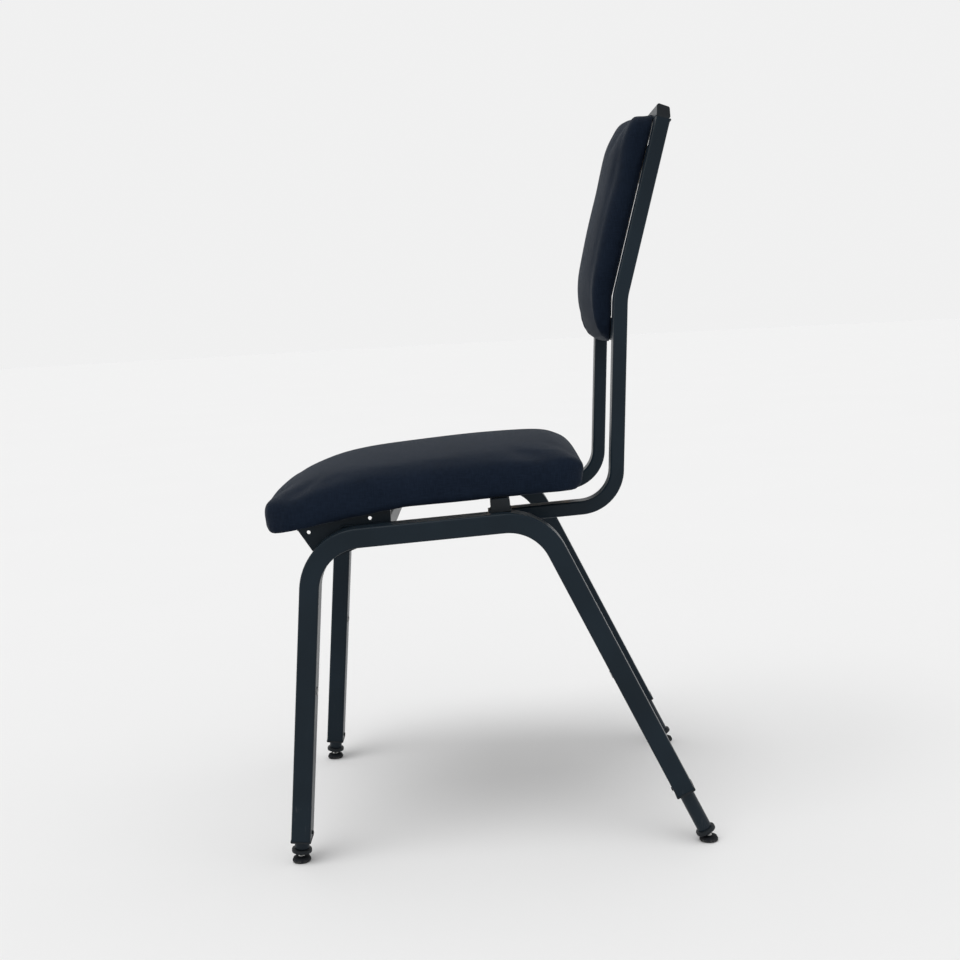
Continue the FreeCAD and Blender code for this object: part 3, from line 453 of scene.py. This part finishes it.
def board_tree(node):
    """Search tree over a CAD node's faces."""
    shape = merged_copy(node)
    tree = BVHTree.FromBMesh(shape)
    shape.free()
    return tree


def foam_block(name, cushion_node, board_node, voxel, room):
    """Voxel copy of a cushion, its pocket widened by a little room for the board."""
    tree = board_tree(board_node)
    shape = merged_copy(cushion_node)
    bmesh.ops.subdivide_edges(shape, edges=[e for e in shape.edges if e.calc_length() > LONG_EDGE], cuts=3,
                              use_grid_fill=False)
    shape.normal_update()
    moves = []
    for vert in shape.verts:
        distance = tree.find_nearest(vert.co)[3]
        if distance < TOUCHING:
            moves.append((vert, vert.normal * -room))
    for vert, move in moves:
        vert.co += move
    bmesh.ops.triangulate(shape, faces=shape.faces[:])
    mesh = bpy.data.meshes.new(name)
    shape.to_mesh(mesh)
    shape.free()
    piece = bpy.data.objects.new(name, mesh)
    bpy.context.scene.collection.objects.link(piece)
    remesh = piece.modifiers.new("blocks", "REMESH")
    remesh.mode = "VOXEL"
    remesh.voxel_size = voxel
    applied(piece)
    return piece, tree


def pin_weights(piece, tree, held):
    """1 where the cover lies on wood or is stapled, falling to 0 on the free faces."""
    weights = []
    for vert in piece.data.vertices:
        distance = tree.find_nearest(vert.co)[3]
        near_board = 1 - smooth_step(*ON_BOARD, distance)
        weights.append(max(near_board, held(vert.co)))
    return weights


def relax(shape, verts, factor):
    """Move vertices part of the way to the middle of their neighbours, or away from it."""
    bmesh.ops.smooth_vert(shape, verts=verts, factor=factor, use_axis_x=True, use_axis_y=True,
                          use_axis_z=True)


def inflate(piece, weights, settings, calm):
    """Let the cover swell under pressure, hold it within a cap and calm its pinches."""
    mesh = piece.data
    shrink = settings.shrink
    starts = [vert.co - vert.normal * (shrink * (1 - weight))
              for vert, weight in zip(mesh.vertices, weights)]
    for vert, start in zip(mesh.vertices, starts):
        vert.co = start
    group = piece.vertex_groups.new(name="held")
    for index, weight in enumerate(weights):
        group.add([index], weight, "REPLACE")
    cloth = piece.modifiers.new("cover", "CLOTH")
    cover = cloth.settings
    cover.quality = 6
    cover.mass = 0.3
    cover.tension_stiffness = settings.stiffness
    cover.compression_stiffness = settings.stiffness
    cover.shear_stiffness = settings.stiffness / 3
    cover.bending_stiffness = 0.6
    cover.vertex_group_mass = "held"
    cover.use_pressure = True
    cover.uniform_pressure_force = settings.pressure
    cover.effector_weights.gravity = 0
    cloth.collision_settings.use_collision = False
    scene = bpy.context.scene
    for step in range(1, settings.steps + 1):
        scene.frame_set(step)
    applied(piece)
    scene.frame_set(1)
    swelling = bmesh.new()
    swelling.from_mesh(piece.data)
    for vert, start, weight in zip(swelling.verts, starts, weights):
        move = vert.co - start
        limit = settings.swell * (1 - weight) + SWELL_SLACK
        vert.co = move * min(1.0, limit / max(move.length, 1e-9))
    for _ in range(calm):
        relax(swelling, swelling.verts[:], 0.5)
    for vert, start in zip(swelling.verts, starts):
        vert.co += start
    swelling.to_mesh(piece.data)
    swelling.free()


def even_out(piece, weights, rounds, keep):
    """Take the voxel steps out of the free faces; keep is how much of each round is given back."""
    shape = bmesh.new()
    shape.from_mesh(piece.data)
    shape.verts.ensure_lookup_table()
    free = [shape.verts[i] for i, weight in enumerate(weights) if weight < 0.5]
    for _ in range(rounds):
        relax(shape, free, 0.5)
        relax(shape, free, -0.5 * keep)
    shape.to_mesh(piece.data)
    shape.free()


def map_cloth(piece):
    """Cloth map in metres: each face takes the plane it faces most."""
    mesh = piece.data
    layer = mesh.uv_layers.new(name="cloth")
    flat = []
    for face in mesh.polygons:
        size = [abs(value) for value in face.normal]
        axis = size.index(max(size))
        keep = ((1, 2), (0, 2), (0, 1))[axis]
        for index in face.vertices:
            point = mesh.vertices[index].co
            flat.extend((point[keep[0]], point[keep[1]]))
    layer.uv.foreach_set("vector", flat)


def cover_piece(piece, material, node):
    """Common end of both cushions: finish, body, slot and one subdivision."""
    mesh = piece.data
    mesh.materials.clear()
    mesh.materials.append(material)
    mesh.polygons.foreach_set("use_smooth", [True] * len(mesh.polygons))
    map_cloth(piece)
    finer = piece.modifiers.new("finer", "SUBSURF")
    finer.levels = 1
    finer.render_levels = 1
    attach(piece, "frame")
    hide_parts(node)


def fill_out(piece, cushion_node, board_node, axes):
    """Let the rim beyond the board reach as far out as the cushion does, more toward its edge."""
    outer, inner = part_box(cushion_node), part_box(board_node)
    for axis in axes:
        reach = [vert.co[axis] for vert in piece.data.vertices]
        for side, found in ((0, min(reach)), (1, max(reach))):
            start, end = inner[side][axis], outer[side][axis]
            for vert in piece.data.vertices:
                share = (vert.co[axis] - start) / (found - start)
                if share > 0:
                    vert.co[axis] += (end - found) * share * share


def draw_rim(piece, depth_of, way, short):
    """Take the stapled rim out to the board's outer face, which the blocks leave a little short."""
    for vert in piece.data.vertices:
        depth = depth_of(vert.co)
        drawn = short * (1 - smooth_step(short, RIM_REACH * short, depth))
        vert.co += way * min(drawn, depth - RIM_LEAST)


def lift_crown(piece):
    """Make the upper edge of the back pad fuller, more toward its front."""
    for vert in piece.data.vertices:
        full = smooth_step(*CROWN_HEIGHTS, vert.co.z)
        full *= smooth_step(*CROWN_DEPTHS, board_rear(vert.co.z) - vert.co.y)
        vert.co += CROWN_LIFT * full


def pull(piece, centre_of, depth, reach, held):
    """Small gathers that run up from the stapled edge."""
    for vert in piece.data.vertices:
        height, run, side = held(vert.co)
        if height < 0 or height > reach:
            continue
        fade = 1 - smooth_step(0.0, reach, height)
        drift = 2.2 * noise.noise(Vector((run * 18, side, 0)))
        wave = math.sin(run * 2 * math.pi / GATHER_PITCH + drift)
        uneven = 0.55 + 0.45 * noise.noise(Vector((run * 9 + 4.0, side * 3.0, 1.0)))
        out = (vert.co - centre_of(vert.co)).normalized()
        vert.co -= out * (depth * fade * uneven * (0.5 + 0.5 * wave))


# Welds, dust cloths and staples


def bead(shape, start, end, radius):
    """One rippled weld bead with rounded ends."""
    way = end - start
    steps = max(9, round(way.length / BEAD_STEP))
    turn = way.to_track_quat("Z", "Y").to_matrix().to_4x4()
    width = radius * BEAD_TIP
    ring = bmesh.ops.create_circle(shape, cap_ends=False, segments=8, radius=width,
                                   matrix=Matrix.Translation(start) @ turn)["verts"]
    edges = list({edge for vert in ring for edge in vert.link_edges})
    first = edges
    for step in range(1, steps + 1):
        share = step / steps
        ends = math.sqrt(max(1 - (2 * share - 1) ** 6, 0.05))
        wanted = radius * ends * (0.86 + 0.14 * abs(math.sin(step * 0.9)))
        made = bmesh.ops.extrude_edge_only(shape, edges=edges)["geom"]
        verts = [item for item in made if isinstance(item, bmesh.types.BMVert)]
        edges = [item for item in made if isinstance(item, bmesh.types.BMEdge)]
        bmesh.ops.translate(shape, verts=verts, vec=way / steps)
        grow = wanted / width
        centre = start + way * share
        bmesh.ops.scale(shape, verts=verts, vec=(grow, grow, grow), space=Matrix.Translation(-centre))
        width = wanted
    bmesh.ops.holes_fill(shape, edges=first + edges, sides=0)


def rail_top(y):
    """Height of the side rail's top face."""
    return RAIL_HEIGHT + y * math.tan(RAIL_RISE) + RAIL_HALF_DEPTH / math.cos(RAIL_RISE)


def weld_lines():
    """Start, end and radius of each weld bead."""
    lines = []

    def weld(kind, middle, along):
        half, radius = WELDS[kind]
        lines.append((middle - along * half, middle + along * half, radius))

    rise = Vector((0, -math.sin(RAIL_RISE), math.cos(RAIL_RISE)))
    way = Vector((0, math.cos(RAIL_RISE), math.sin(RAIL_RISE)))
    slope = Vector((0, 1, math.tan(RAIL_RISE)))
    front_cross = Vector((0, 0, RAIL_HEIGHT)) + way * (FRONT_CROSS_Y / way.y)
    for side in SIDES:
        across = Vector((side, 0, 0))
        carrier = front_cross + across * (RAIL_INNER_X - CARRIER_SHEET)
        for face in SIDES:
            over = REAR_CROSS + way * (face * CROSS_HALF_DEPTH)
            weld("rail", Vector((side * RAIL_WELD_X, over.y, rail_top(over.y))), across)
            weld("upright", over - rise * REAR_CROSS_HALF + across * UPRIGHT_X, across)
            weld("carrier", carrier + rise * (face * FRONT_CROSS_HALF), way)
            weld("carrier", carrier + way * (face * CROSS_HALF_DEPTH), rise)
        for y in FLANGE_WELD_Y:
            weld("flange", Vector((side * RAIL_INNER_X, y, rail_top(y) - FLANGE_WELD_DROP)), slope)
        weld("upright", TOP_REAR + across * UPRIGHT_X, across)
        inner = across * (UPRIGHT_X - UPRIGHT_HALF_WIDTH)
        for middle, lean in ((UPPER_RAIL, HIGH_LEAN), (LOWER_RAIL, LOW_LEAN)):
            up = Vector((0, math.sin(lean), math.cos(lean)))
            out = Vector((0, math.cos(lean), -math.sin(lean)))
            weld("back_rail", middle + inner + out * UPRIGHT_HALF_DEPTH, up)
            for end in SIDES:
                weld("back_rail_end", middle + inner + up * (end * BACK_RAIL_HALF), out)
    return lines


def cloth_panel(shape, place, inner_fade):
    """Grid whose points are put on a board by a function of two shares, with a slack middle."""
    columns, rows = CLOTH_GRID
    made = bmesh.ops.create_grid(shape, x_segments=columns, y_segments=rows, size=0.5)["verts"]
    for vert in made:
        across, along = vert.co.x + 0.5, vert.co.y + 0.5
        edge = min(across, 1 - across, along, 1 - along)
        slack = smooth_step(0.0, inner_fade, edge)
        ripple = noise.noise(Vector((across * 5.0, along * 4.0, 2.0))) * 0.6
        vert.co = place(across, along, 0.0006 + 0.0014 * slack * (0.5 + ripple))


def staple(shape, centre, along, out):
    """One wire staple's crown."""
    side = along.cross(out).normalized()
    turn = Matrix((along.normalized(), side, out.normalized())).transposed().to_4x4()
    made = bmesh.ops.create_cube(shape, size=1.0, matrix=Matrix.Translation(centre) @ turn
                                 @ Matrix.Diagonal((*STAPLE_SIZE, 1)))["verts"]
    edges = list({edge for vert in made for edge in vert.link_edges})
    bmesh.ops.bevel(shape, geom=edges, offset=STAPLE_BEVEL, offset_type="OFFSET", affect="EDGES",
                    segments=1, profile=0.5, material=-1)


def staple_spots(width, length):
    """Where a cloth's staples lie, as shares across and along it, and whether each lies across."""
    columns = max(3, round(width / STAPLE_PITCH))
    rows = max(2, round(length / STAPLE_PITCH))
    spots = [((i + 0.5) / columns, edge, True) for i in range(columns)
             for edge in (STAPLE_INSET / length, 1 - STAPLE_INSET / length)]
    spots += [(edge, (i + 0.5) / rows, False) for i in range(rows)
              for edge in (STAPLE_INSET / width, 1 - STAPLE_INSET / width)]
    return spots


def cloth_places():
    """Name, board, half width, start and end along the board of each dust cloth."""
    low_edge = (BACK_RAIL_HALF + RAIL_ROOM) * math.cos(LOW_LEAN)
    high_edge = (BACK_RAIL_HALF + RAIL_ROOM) * math.cos(HIGH_LEAN)
    return (
        ("seat_dust_cloth_front", "seat_board", 0.156, -0.246, 0.004),
        ("seat_dust_cloth_rear", "seat_board", 0.168, 0.044, 0.110),
        ("back_dust_cloth", "back_board", BACK_CLOTH_HALF, LOWER_RAIL.z + low_edge,
         UPPER_RAIL.z - high_edge),
        ("back_dust_cloth_top", "back_board", BACK_CLOTH_HALF, UPPER_RAIL.z + high_edge, BACK_CLOTH_TOP),
    )


def lay_cloth(name, board, low, high, cloth, staples):
    """Lay one dust cloth on a board and add its staples to their shape."""
    upright = board == "back_board"

    def place(across, along, stand):
        x = low.x + (high.x - low.x) * across
        run = low.y + (high.y - low.y) * along
        if upright:
            return Vector((x * corner_share(run), board_rear(run) + stand, run))
        return Vector((x, run, seat_underside(run) - stand))

    shape = bmesh.new()
    cloth_panel(shape, place, 0.14)
    bmesh.ops.recalc_face_normals(shape, faces=shape.faces[:])
    panel = finished(name, shape, cloth, "frame")
    wall = panel.modifiers.new("thickness", "SOLIDIFY")
    wall.thickness = CLOTH_THICKNESS
    wall.offset = 0.0
    width = high.x - low.x
    for across, along, level in staple_spots(width, high.y - low.y):
        centre = place(across, along, STAPLE_STAND)
        beside = (across + 0.01, along) if level else (across, along + 0.01)
        way = (place(*beside, STAPLE_STAND) - centre).normalized()
        out = Vector((0, 1, 0)) if upright else Vector((0, 0, -1))
        out = (out - way * out.dot(way)).normalized()
        staple(staples, centre, way, out)


# Settings


class ChairFinishes(bpy.types.PropertyGroup):
    """Colours and gloss of the chair."""
    coat: FloatVectorProperty(name="Powder coat", description="Colour of the coated tubes", subtype="COLOR",
                              size=3, min=0, max=1, default=(0.0085, 0.0155, 0.0225))
    coat_gloss: FloatProperty(name="Coat roughness", description="Roughness of the powder coat",
                              subtype="FACTOR", min=0, max=1, default=0.34)
    plastic: FloatVectorProperty(name="Plastic", description="Colour of bushes, caps and plugs",
                                 subtype="COLOR", size=3, min=0, max=1, default=(0.0085, 0.0115, 0.0145))
    rubber: FloatVectorProperty(name="Rubber", description="Colour of the foot pads", subtype="COLOR",
                                size=3, min=0, max=1, default=(0.0085, 0.0100, 0.0130))
    cloth_dark: FloatVectorProperty(name="Cloth, dark yarn", description="Darker yarn of the cover",
                                    subtype="COLOR", size=3, min=0, max=1, default=(0.0028, 0.0058, 0.0125))
    cloth_light: FloatVectorProperty(name="Cloth, light yarn", description="Lighter yarn of the cover",
                                     subtype="COLOR", size=3, min=0, max=1, default=(0.0090, 0.0155, 0.0295))
    yarn_pitch: FloatProperty(name="Yarn pitch", description="Distance between two yarns", unit="LENGTH",
                              min=0.0004, max=0.01, default=0.0014)


class ChairCushions(bpy.types.PropertyGroup):
    """How the cushions are inflated."""
    voxel: FloatProperty(name="Voxel", description="Size of the remesh", unit="LENGTH", min=0.003,
                         max=0.02, default=0.0055)
    pressure: FloatProperty(name="Pressure", description="Pressure inside the cover", min=0, max=20,
                            default=12.0)
    stiffness: FloatProperty(name="Stiffness", description="Stretch stiffness of the cover", min=1,
                             max=100, default=15.0)
    swell: FloatProperty(name="Swell", description="Most that the cover may move", unit="LENGTH", min=0,
                         max=0.03, default=0.0044)
    shrink: FloatProperty(name="Start inside", description="How far inside the final form the cover starts",
                          unit="LENGTH", min=0, max=0.02, default=0.0012)
    steps: IntProperty(name="Steps", description="Frames of the simulation", min=1, max=60, default=20)


class ChairStage(bpy.types.PropertyGroup):
    """Floor and light."""
    floor: FloatVectorProperty(name="Floor", description="Colour of the studio floor", subtype="COLOR",
                               size=3, min=0, max=1, default=(0.85, 0.85, 0.85))
    surround: FloatProperty(name="Surround", description="Brightness of the pale surround", min=0, max=2,
                            default=0.875)
    ceiling: FloatProperty(name="Ceiling", description="Brightness overhead", min=0, max=2, default=0.68)
    sun: FloatProperty(name="Soft light", description="Strength of the broad light from above", min=0,
                       max=10, default=1.1)


# Operators


class CHAIR_OT_frame(bpy.types.Operator):
    """Powder coat on the bent tubes, rails and brackets"""
    bl_idname = "chair.frame"
    bl_label = "Coat the frame"

    def execute(self, context):
        looks = context.scene.chair_finishes
        coat = powder_coat("frame_paint", tuple(looks.coat), looks.coat_gloss)
        dress(["side_frame_left", "side_frame_right", "carrier_bracket_left", "carrier_bracket_right",
               "back_tube_left", "back_tube_right", "front_cross_tube", "rear_cross_tube",
               "back_top_rail", "back_upper_rail", "back_lower_rail"], coat)
        return {"FINISHED"}


class CHAIR_OT_legs(bpy.types.Operator):
    """Finishes of the inner legs, bushes, plugs and pads"""
    bl_idname = "chair.legs"
    bl_label = "Finish the legs"

    def execute(self, context):
        looks = context.scene.chair_finishes
        dress(["inner_leg_" + leg for leg in LEGS], slide_tube("inner_tube", tuple(looks.coat), 0.3))
        plastic = moulded_plastic("black_plastic", tuple(looks.plastic))
        dress([kind + leg for kind in ("guide_bush_", "guide_block_", "foot_plug_") for leg in LEGS], plastic)
        dress(["top_rail_caps", "cross_tube_caps", "back_run_caps"], plastic)
        dress(["foot_pad_" + leg for leg in LEGS], floor_rubber("pad_rubber", tuple(looks.rubber)))
        return {"FINISHED"}


class CHAIR_OT_fasteners(bpy.types.Operator):
    """Finishes of the screws, inserts, nuts and studs"""
    bl_idname = "chair.fasteners"
    bl_label = "Finish the fasteners"

    def execute(self, context):
        dress(["clamp_screw_" + leg for leg in LEGS] + ["seat_screws", "back_screws"],
              turned_steel("dark_fastener", (0.085, 0.085, 0.09), 0.38))
        dress(["ball_stud_" + leg for leg in LEGS] + ["clamp_inserts", "seat_tee_nuts", "back_tee_nuts"],
              turned_steel("plain_steel", (0.5, 0.5, 0.49), 0.34))
        return {"FINISHED"}


class CHAIR_OT_boards(bpy.types.Operator):
    """Birch plywood of the seat and back boards"""
    bl_idname = "chair.boards"
    bl_label = "Finish the boards"

    def execute(self, context):
        dress(["seat_board"], birch_ply("plywood_seat", 1))
        dress(["back_board"], birch_ply("plywood_back", 2))
        return {"FINISHED"}


class CHAIR_OT_welds(bpy.types.Operator):
    """Weld beads where the frame's tubes meet"""
    bl_idname = "chair.welds"
    bl_label = "Add the weld beads"

    def execute(self, context):
        looks = context.scene.chair_finishes
        shape = bmesh.new()
        for start, end, radius in weld_lines():
            bead(shape, start, end, radius)
        bmesh.ops.recalc_face_normals(shape, faces=shape.faces[:])
        finished("weld_beads", shape, powder_coat("weld_paint", tuple(looks.coat), looks.coat_gloss), "frame")
        return {"FINISHED"}


def seat_depth(point):
    """Height above the seat board's underside."""
    return point.z - seat_underside(point.y)


def back_depth(point):
    """Distance in front of the back board's rear face."""
    return board_rear(point.z) - point.y


class CHAIR_OT_seat_cushion(bpy.types.Operator):
    """Inflated cover of the seat"""
    bl_idname = "chair.seat_cushion"
    bl_label = "Make the seat cushion"

    def execute(self, context):
        looks = context.scene.chair_finishes
        settings = context.scene.chair_cushions
        piece, tree = foam_block("seat_cover", "seat_cushion", "seat_board", settings.voxel, room=0.0012)
        weights = pin_weights(piece, tree, lambda point: 1 - smooth_step(*SEAT_STAPLED, seat_depth(point)))
        even_out(piece, weights, rounds=14, keep=0.85)
        inflate(piece, weights, settings, calm=9)
        even_out(piece, weights, rounds=6, keep=0.9)
        half_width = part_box("seat_cushion")[1].x

        def gather(point):
            beside = abs(point.x) / half_width > abs(point.y) / SEAT_HALF_DEPTH
            return seat_depth(point), point.y if beside else point.x, math.copysign(1.0, point.x)

        def middle(point):
            return Vector((point.x * 0.6, (point.y - SEAT_MIDDLE_Y) * 0.6 + SEAT_MIDDLE_Y, point.z))

        fill_out(piece, "seat_cushion", "seat_board", axes=(0, 1))
        pull(piece, middle, 0.0009, 0.030, gather)
        draw_rim(piece, seat_depth, Vector((0, 0, -1)), short=0.0022)
        cover_piece(piece, upholstery("seat_fabric", tuple(looks.cloth_dark), tuple(looks.cloth_light),
                                      looks.yarn_pitch), "seat_cushion")
        return {"FINISHED"}


class CHAIR_OT_back_cushion(bpy.types.Operator):
    """Inflated cover of the back rest"""
    bl_idname = "chair.back_cushion"
    bl_label = "Make the back cushion"

    def execute(self, context):
        looks = context.scene.chair_finishes
        settings = context.scene.chair_cushions
        piece, tree = foam_block("back_cover", "back_cushion", "back_board",
                                 settings.voxel * BACK_VOXEL_SHARE, room=0.0007)
        weights = pin_weights(piece, tree, lambda point: 1 - smooth_step(*BACK_STAPLED, back_depth(point)))
        even_out(piece, weights, rounds=18, keep=0.88)
        inflate(piece, weights, settings, calm=30)
        even_out(piece, weights, rounds=6, keep=0.95)
        fill_out(piece, "back_cushion", "back_board", axes=(0, 2))
        draw_rim(piece, back_depth, Vector((0, 1, 0)), short=0.0046)
        lift_crown(piece)
        cover_piece(piece, upholstery("back_fabric", tuple(looks.cloth_dark), tuple(looks.cloth_light),
                                      looks.yarn_pitch), "back_cushion")
        return {"FINISHED"}


class CHAIR_OT_dust_cloths(bpy.types.Operator):
    """Dust cloths under the seat and behind the back rest, with their staples"""
    bl_idname = "chair.dust_cloths"
    bl_label = "Add the dust cloths"

    def execute(self, context):
        cloth = dust_cloth("dust_cloth", (0.012, 0.012, 0.013))
        wire = turned_steel("staple_wire", (0.42, 0.42, 0.41), 0.4)
        staples = bmesh.new()
        for name, board, half, start, end in cloth_places():
            lay_cloth(name, board, Vector((-half, start)), Vector((half, end)), cloth, staples)
        bmesh.ops.recalc_face_normals(staples, faces=staples.faces[:])
        finished("dust_cloth_staples", staples, wire, "frame", smooth=False)
        return {"FINISHED"}


class CHAIR_OT_stage(bpy.types.Operator):
    """Camera, plain floor, one broad light and a pale surround"""
    bl_idname = "chair.stage"
    bl_label = "Set the stage"

    def execute(self, context):
        stage = context.scene.chair_stage
        self.floor(context, stage)
        self.light(context, stage)
        self.surround(context, stage)
        self.camera(context)
        return {"FINISHED"}

    def floor(self, context, stage):
        shape = bmesh.new()
        bmesh.ops.create_circle(shape, cap_ends=True, segments=96, radius=FLOOR_RADIUS)
        mesh = bpy.data.meshes.new("studio_floor")
        shape.to_mesh(mesh)
        shape.free()
        mesh.materials.append(stage_paint("studio_floor", tuple(stage.floor)))
        floor = bpy.data.objects.new("studio_floor", mesh)
        context.scene.collection.objects.link(floor)

    def light(self, context, stage):
        data = bpy.data.lights.new("soft_light", "SUN")
        data.energy = stage.sun
        data.angle = SUN_SPREAD
        sun = bpy.data.objects.new("soft_light", data)
        sun.rotation_mode = "QUATERNION"
        sun.rotation_quaternion = SUN_WAY.to_track_quat("-Z", "Y")
        sun.location = (1.2, -0.9, 3.0)
        context.scene.collection.objects.link(sun)

    def surround(self, context, stage):
        """World that is brightest at the horizon; the standard view keeps the pale ground pale."""
        world = bpy.data.worlds.new("studio")
        world.use_nodes = True
        tree = world.node_tree
        ways = tree.nodes.new("ShaderNodeTexCoord")
        height = tree.nodes.new("ShaderNodeSeparateXYZ")
        fade = tree.nodes.new("ShaderNodeMapRange")
        for socket, value in (("From Min", FADE_HEIGHTS[0]), ("From Max", FADE_HEIGHTS[1]),
                              ("To Min", stage.surround), ("To Max", stage.ceiling)):
            fade.inputs[socket].default_value = value
        light = tree.nodes["Background"]
        light.inputs["Color"].default_value = (1, 1, 1, 1)
        tree.links.new(ways.outputs["Generated"], height.inputs[0])
        tree.links.new(height.outputs["Z"], fade.inputs["Value"])
        tree.links.new(fade.outputs["Result"], light.inputs["Strength"])
        context.scene.world = world
        context.scene.view_settings.view_transform = "Standard"

    def camera(self, context):
        """The photograph's view: from the sitter's left, a little above the seat, turned 3 degrees."""
        ahead = Vector((-math.cos(CAMERA_ASIDE) * math.cos(CAMERA_DOWN),
                        -math.sin(CAMERA_ASIDE) * math.cos(CAMERA_DOWN), -math.sin(CAMERA_DOWN)))
        level = ahead.cross(Vector((0, 0, 1))).normalized()
        upright = level.cross(ahead)
        right = level * math.cos(CAMERA_ROLL) - upright * math.sin(CAMERA_ROLL)
        up = level * math.sin(CAMERA_ROLL) + upright * math.cos(CAMERA_ROLL)
        data = bpy.data.cameras.new("photo_camera")
        data.lens = CAMERA_LENS
        data.sensor_width = 36.0
        data.clip_start = 0.05
        data.clip_end = 200
        camera = bpy.data.objects.new("photo_camera", data)
        axes = Matrix((right, up, -ahead)).transposed().to_4x4()
        camera.matrix_world = Matrix.Translation(CAMERA_PLACE) @ axes
        context.scene.collection.objects.link(camera)
        context.scene.camera = camera


class CHAIR_PT_pieces(bpy.types.Panel):
    """Buttons for the pieces, in the order they are made"""
    bl_idname = "CHAIR_PT_pieces"
    bl_label = "Choir chair"
    bl_space_type = "VIEW_3D"
    bl_region_type = "UI"
    bl_category = "Chair"

    def draw(self, context):
        for group in ("chair_finishes", "chair_cushions", "chair_stage"):
            box = self.layout.box()
            settings = getattr(context.scene, group)
            for name in settings.__annotations__:
                box.prop(settings, name)
        for maker in OPERATORS:
            self.layout.operator(maker.bl_idname)


OPERATORS = (CHAIR_OT_stage, CHAIR_OT_frame, CHAIR_OT_legs, CHAIR_OT_fasteners, CHAIR_OT_boards,
             CHAIR_OT_welds, CHAIR_OT_seat_cushion, CHAIR_OT_back_cushion, CHAIR_OT_dust_cloths)
CLASSES = (ChairFinishes, ChairCushions, ChairStage) + OPERATORS + (CHAIR_PT_pieces,)


def register():
    for made in CLASSES:
        bpy.utils.register_class(made)
    bpy.types.Scene.chair_finishes = PointerProperty(type=ChairFinishes)
    bpy.types.Scene.chair_cushions = PointerProperty(type=ChairCushions)
    bpy.types.Scene.chair_stage = PointerProperty(type=ChairStage)


def unregister():
    del bpy.types.Scene.chair_stage
    del bpy.types.Scene.chair_cushions
    del bpy.types.Scene.chair_finishes
    for made in reversed(CLASSES):
        bpy.utils.unregister_class(made)


def main():
    register()
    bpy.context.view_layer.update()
    bpy.ops.chair.stage()
    bpy.ops.chair.frame()
    bpy.ops.chair.legs()
    bpy.ops.chair.fasteners()
    bpy.ops.chair.boards()
    bpy.ops.chair.welds()
    bpy.ops.chair.seat_cushion()
    bpy.ops.chair.back_cushion()
    bpy.ops.chair.dust_cloths()


if __name__ == "__main__":
    main()
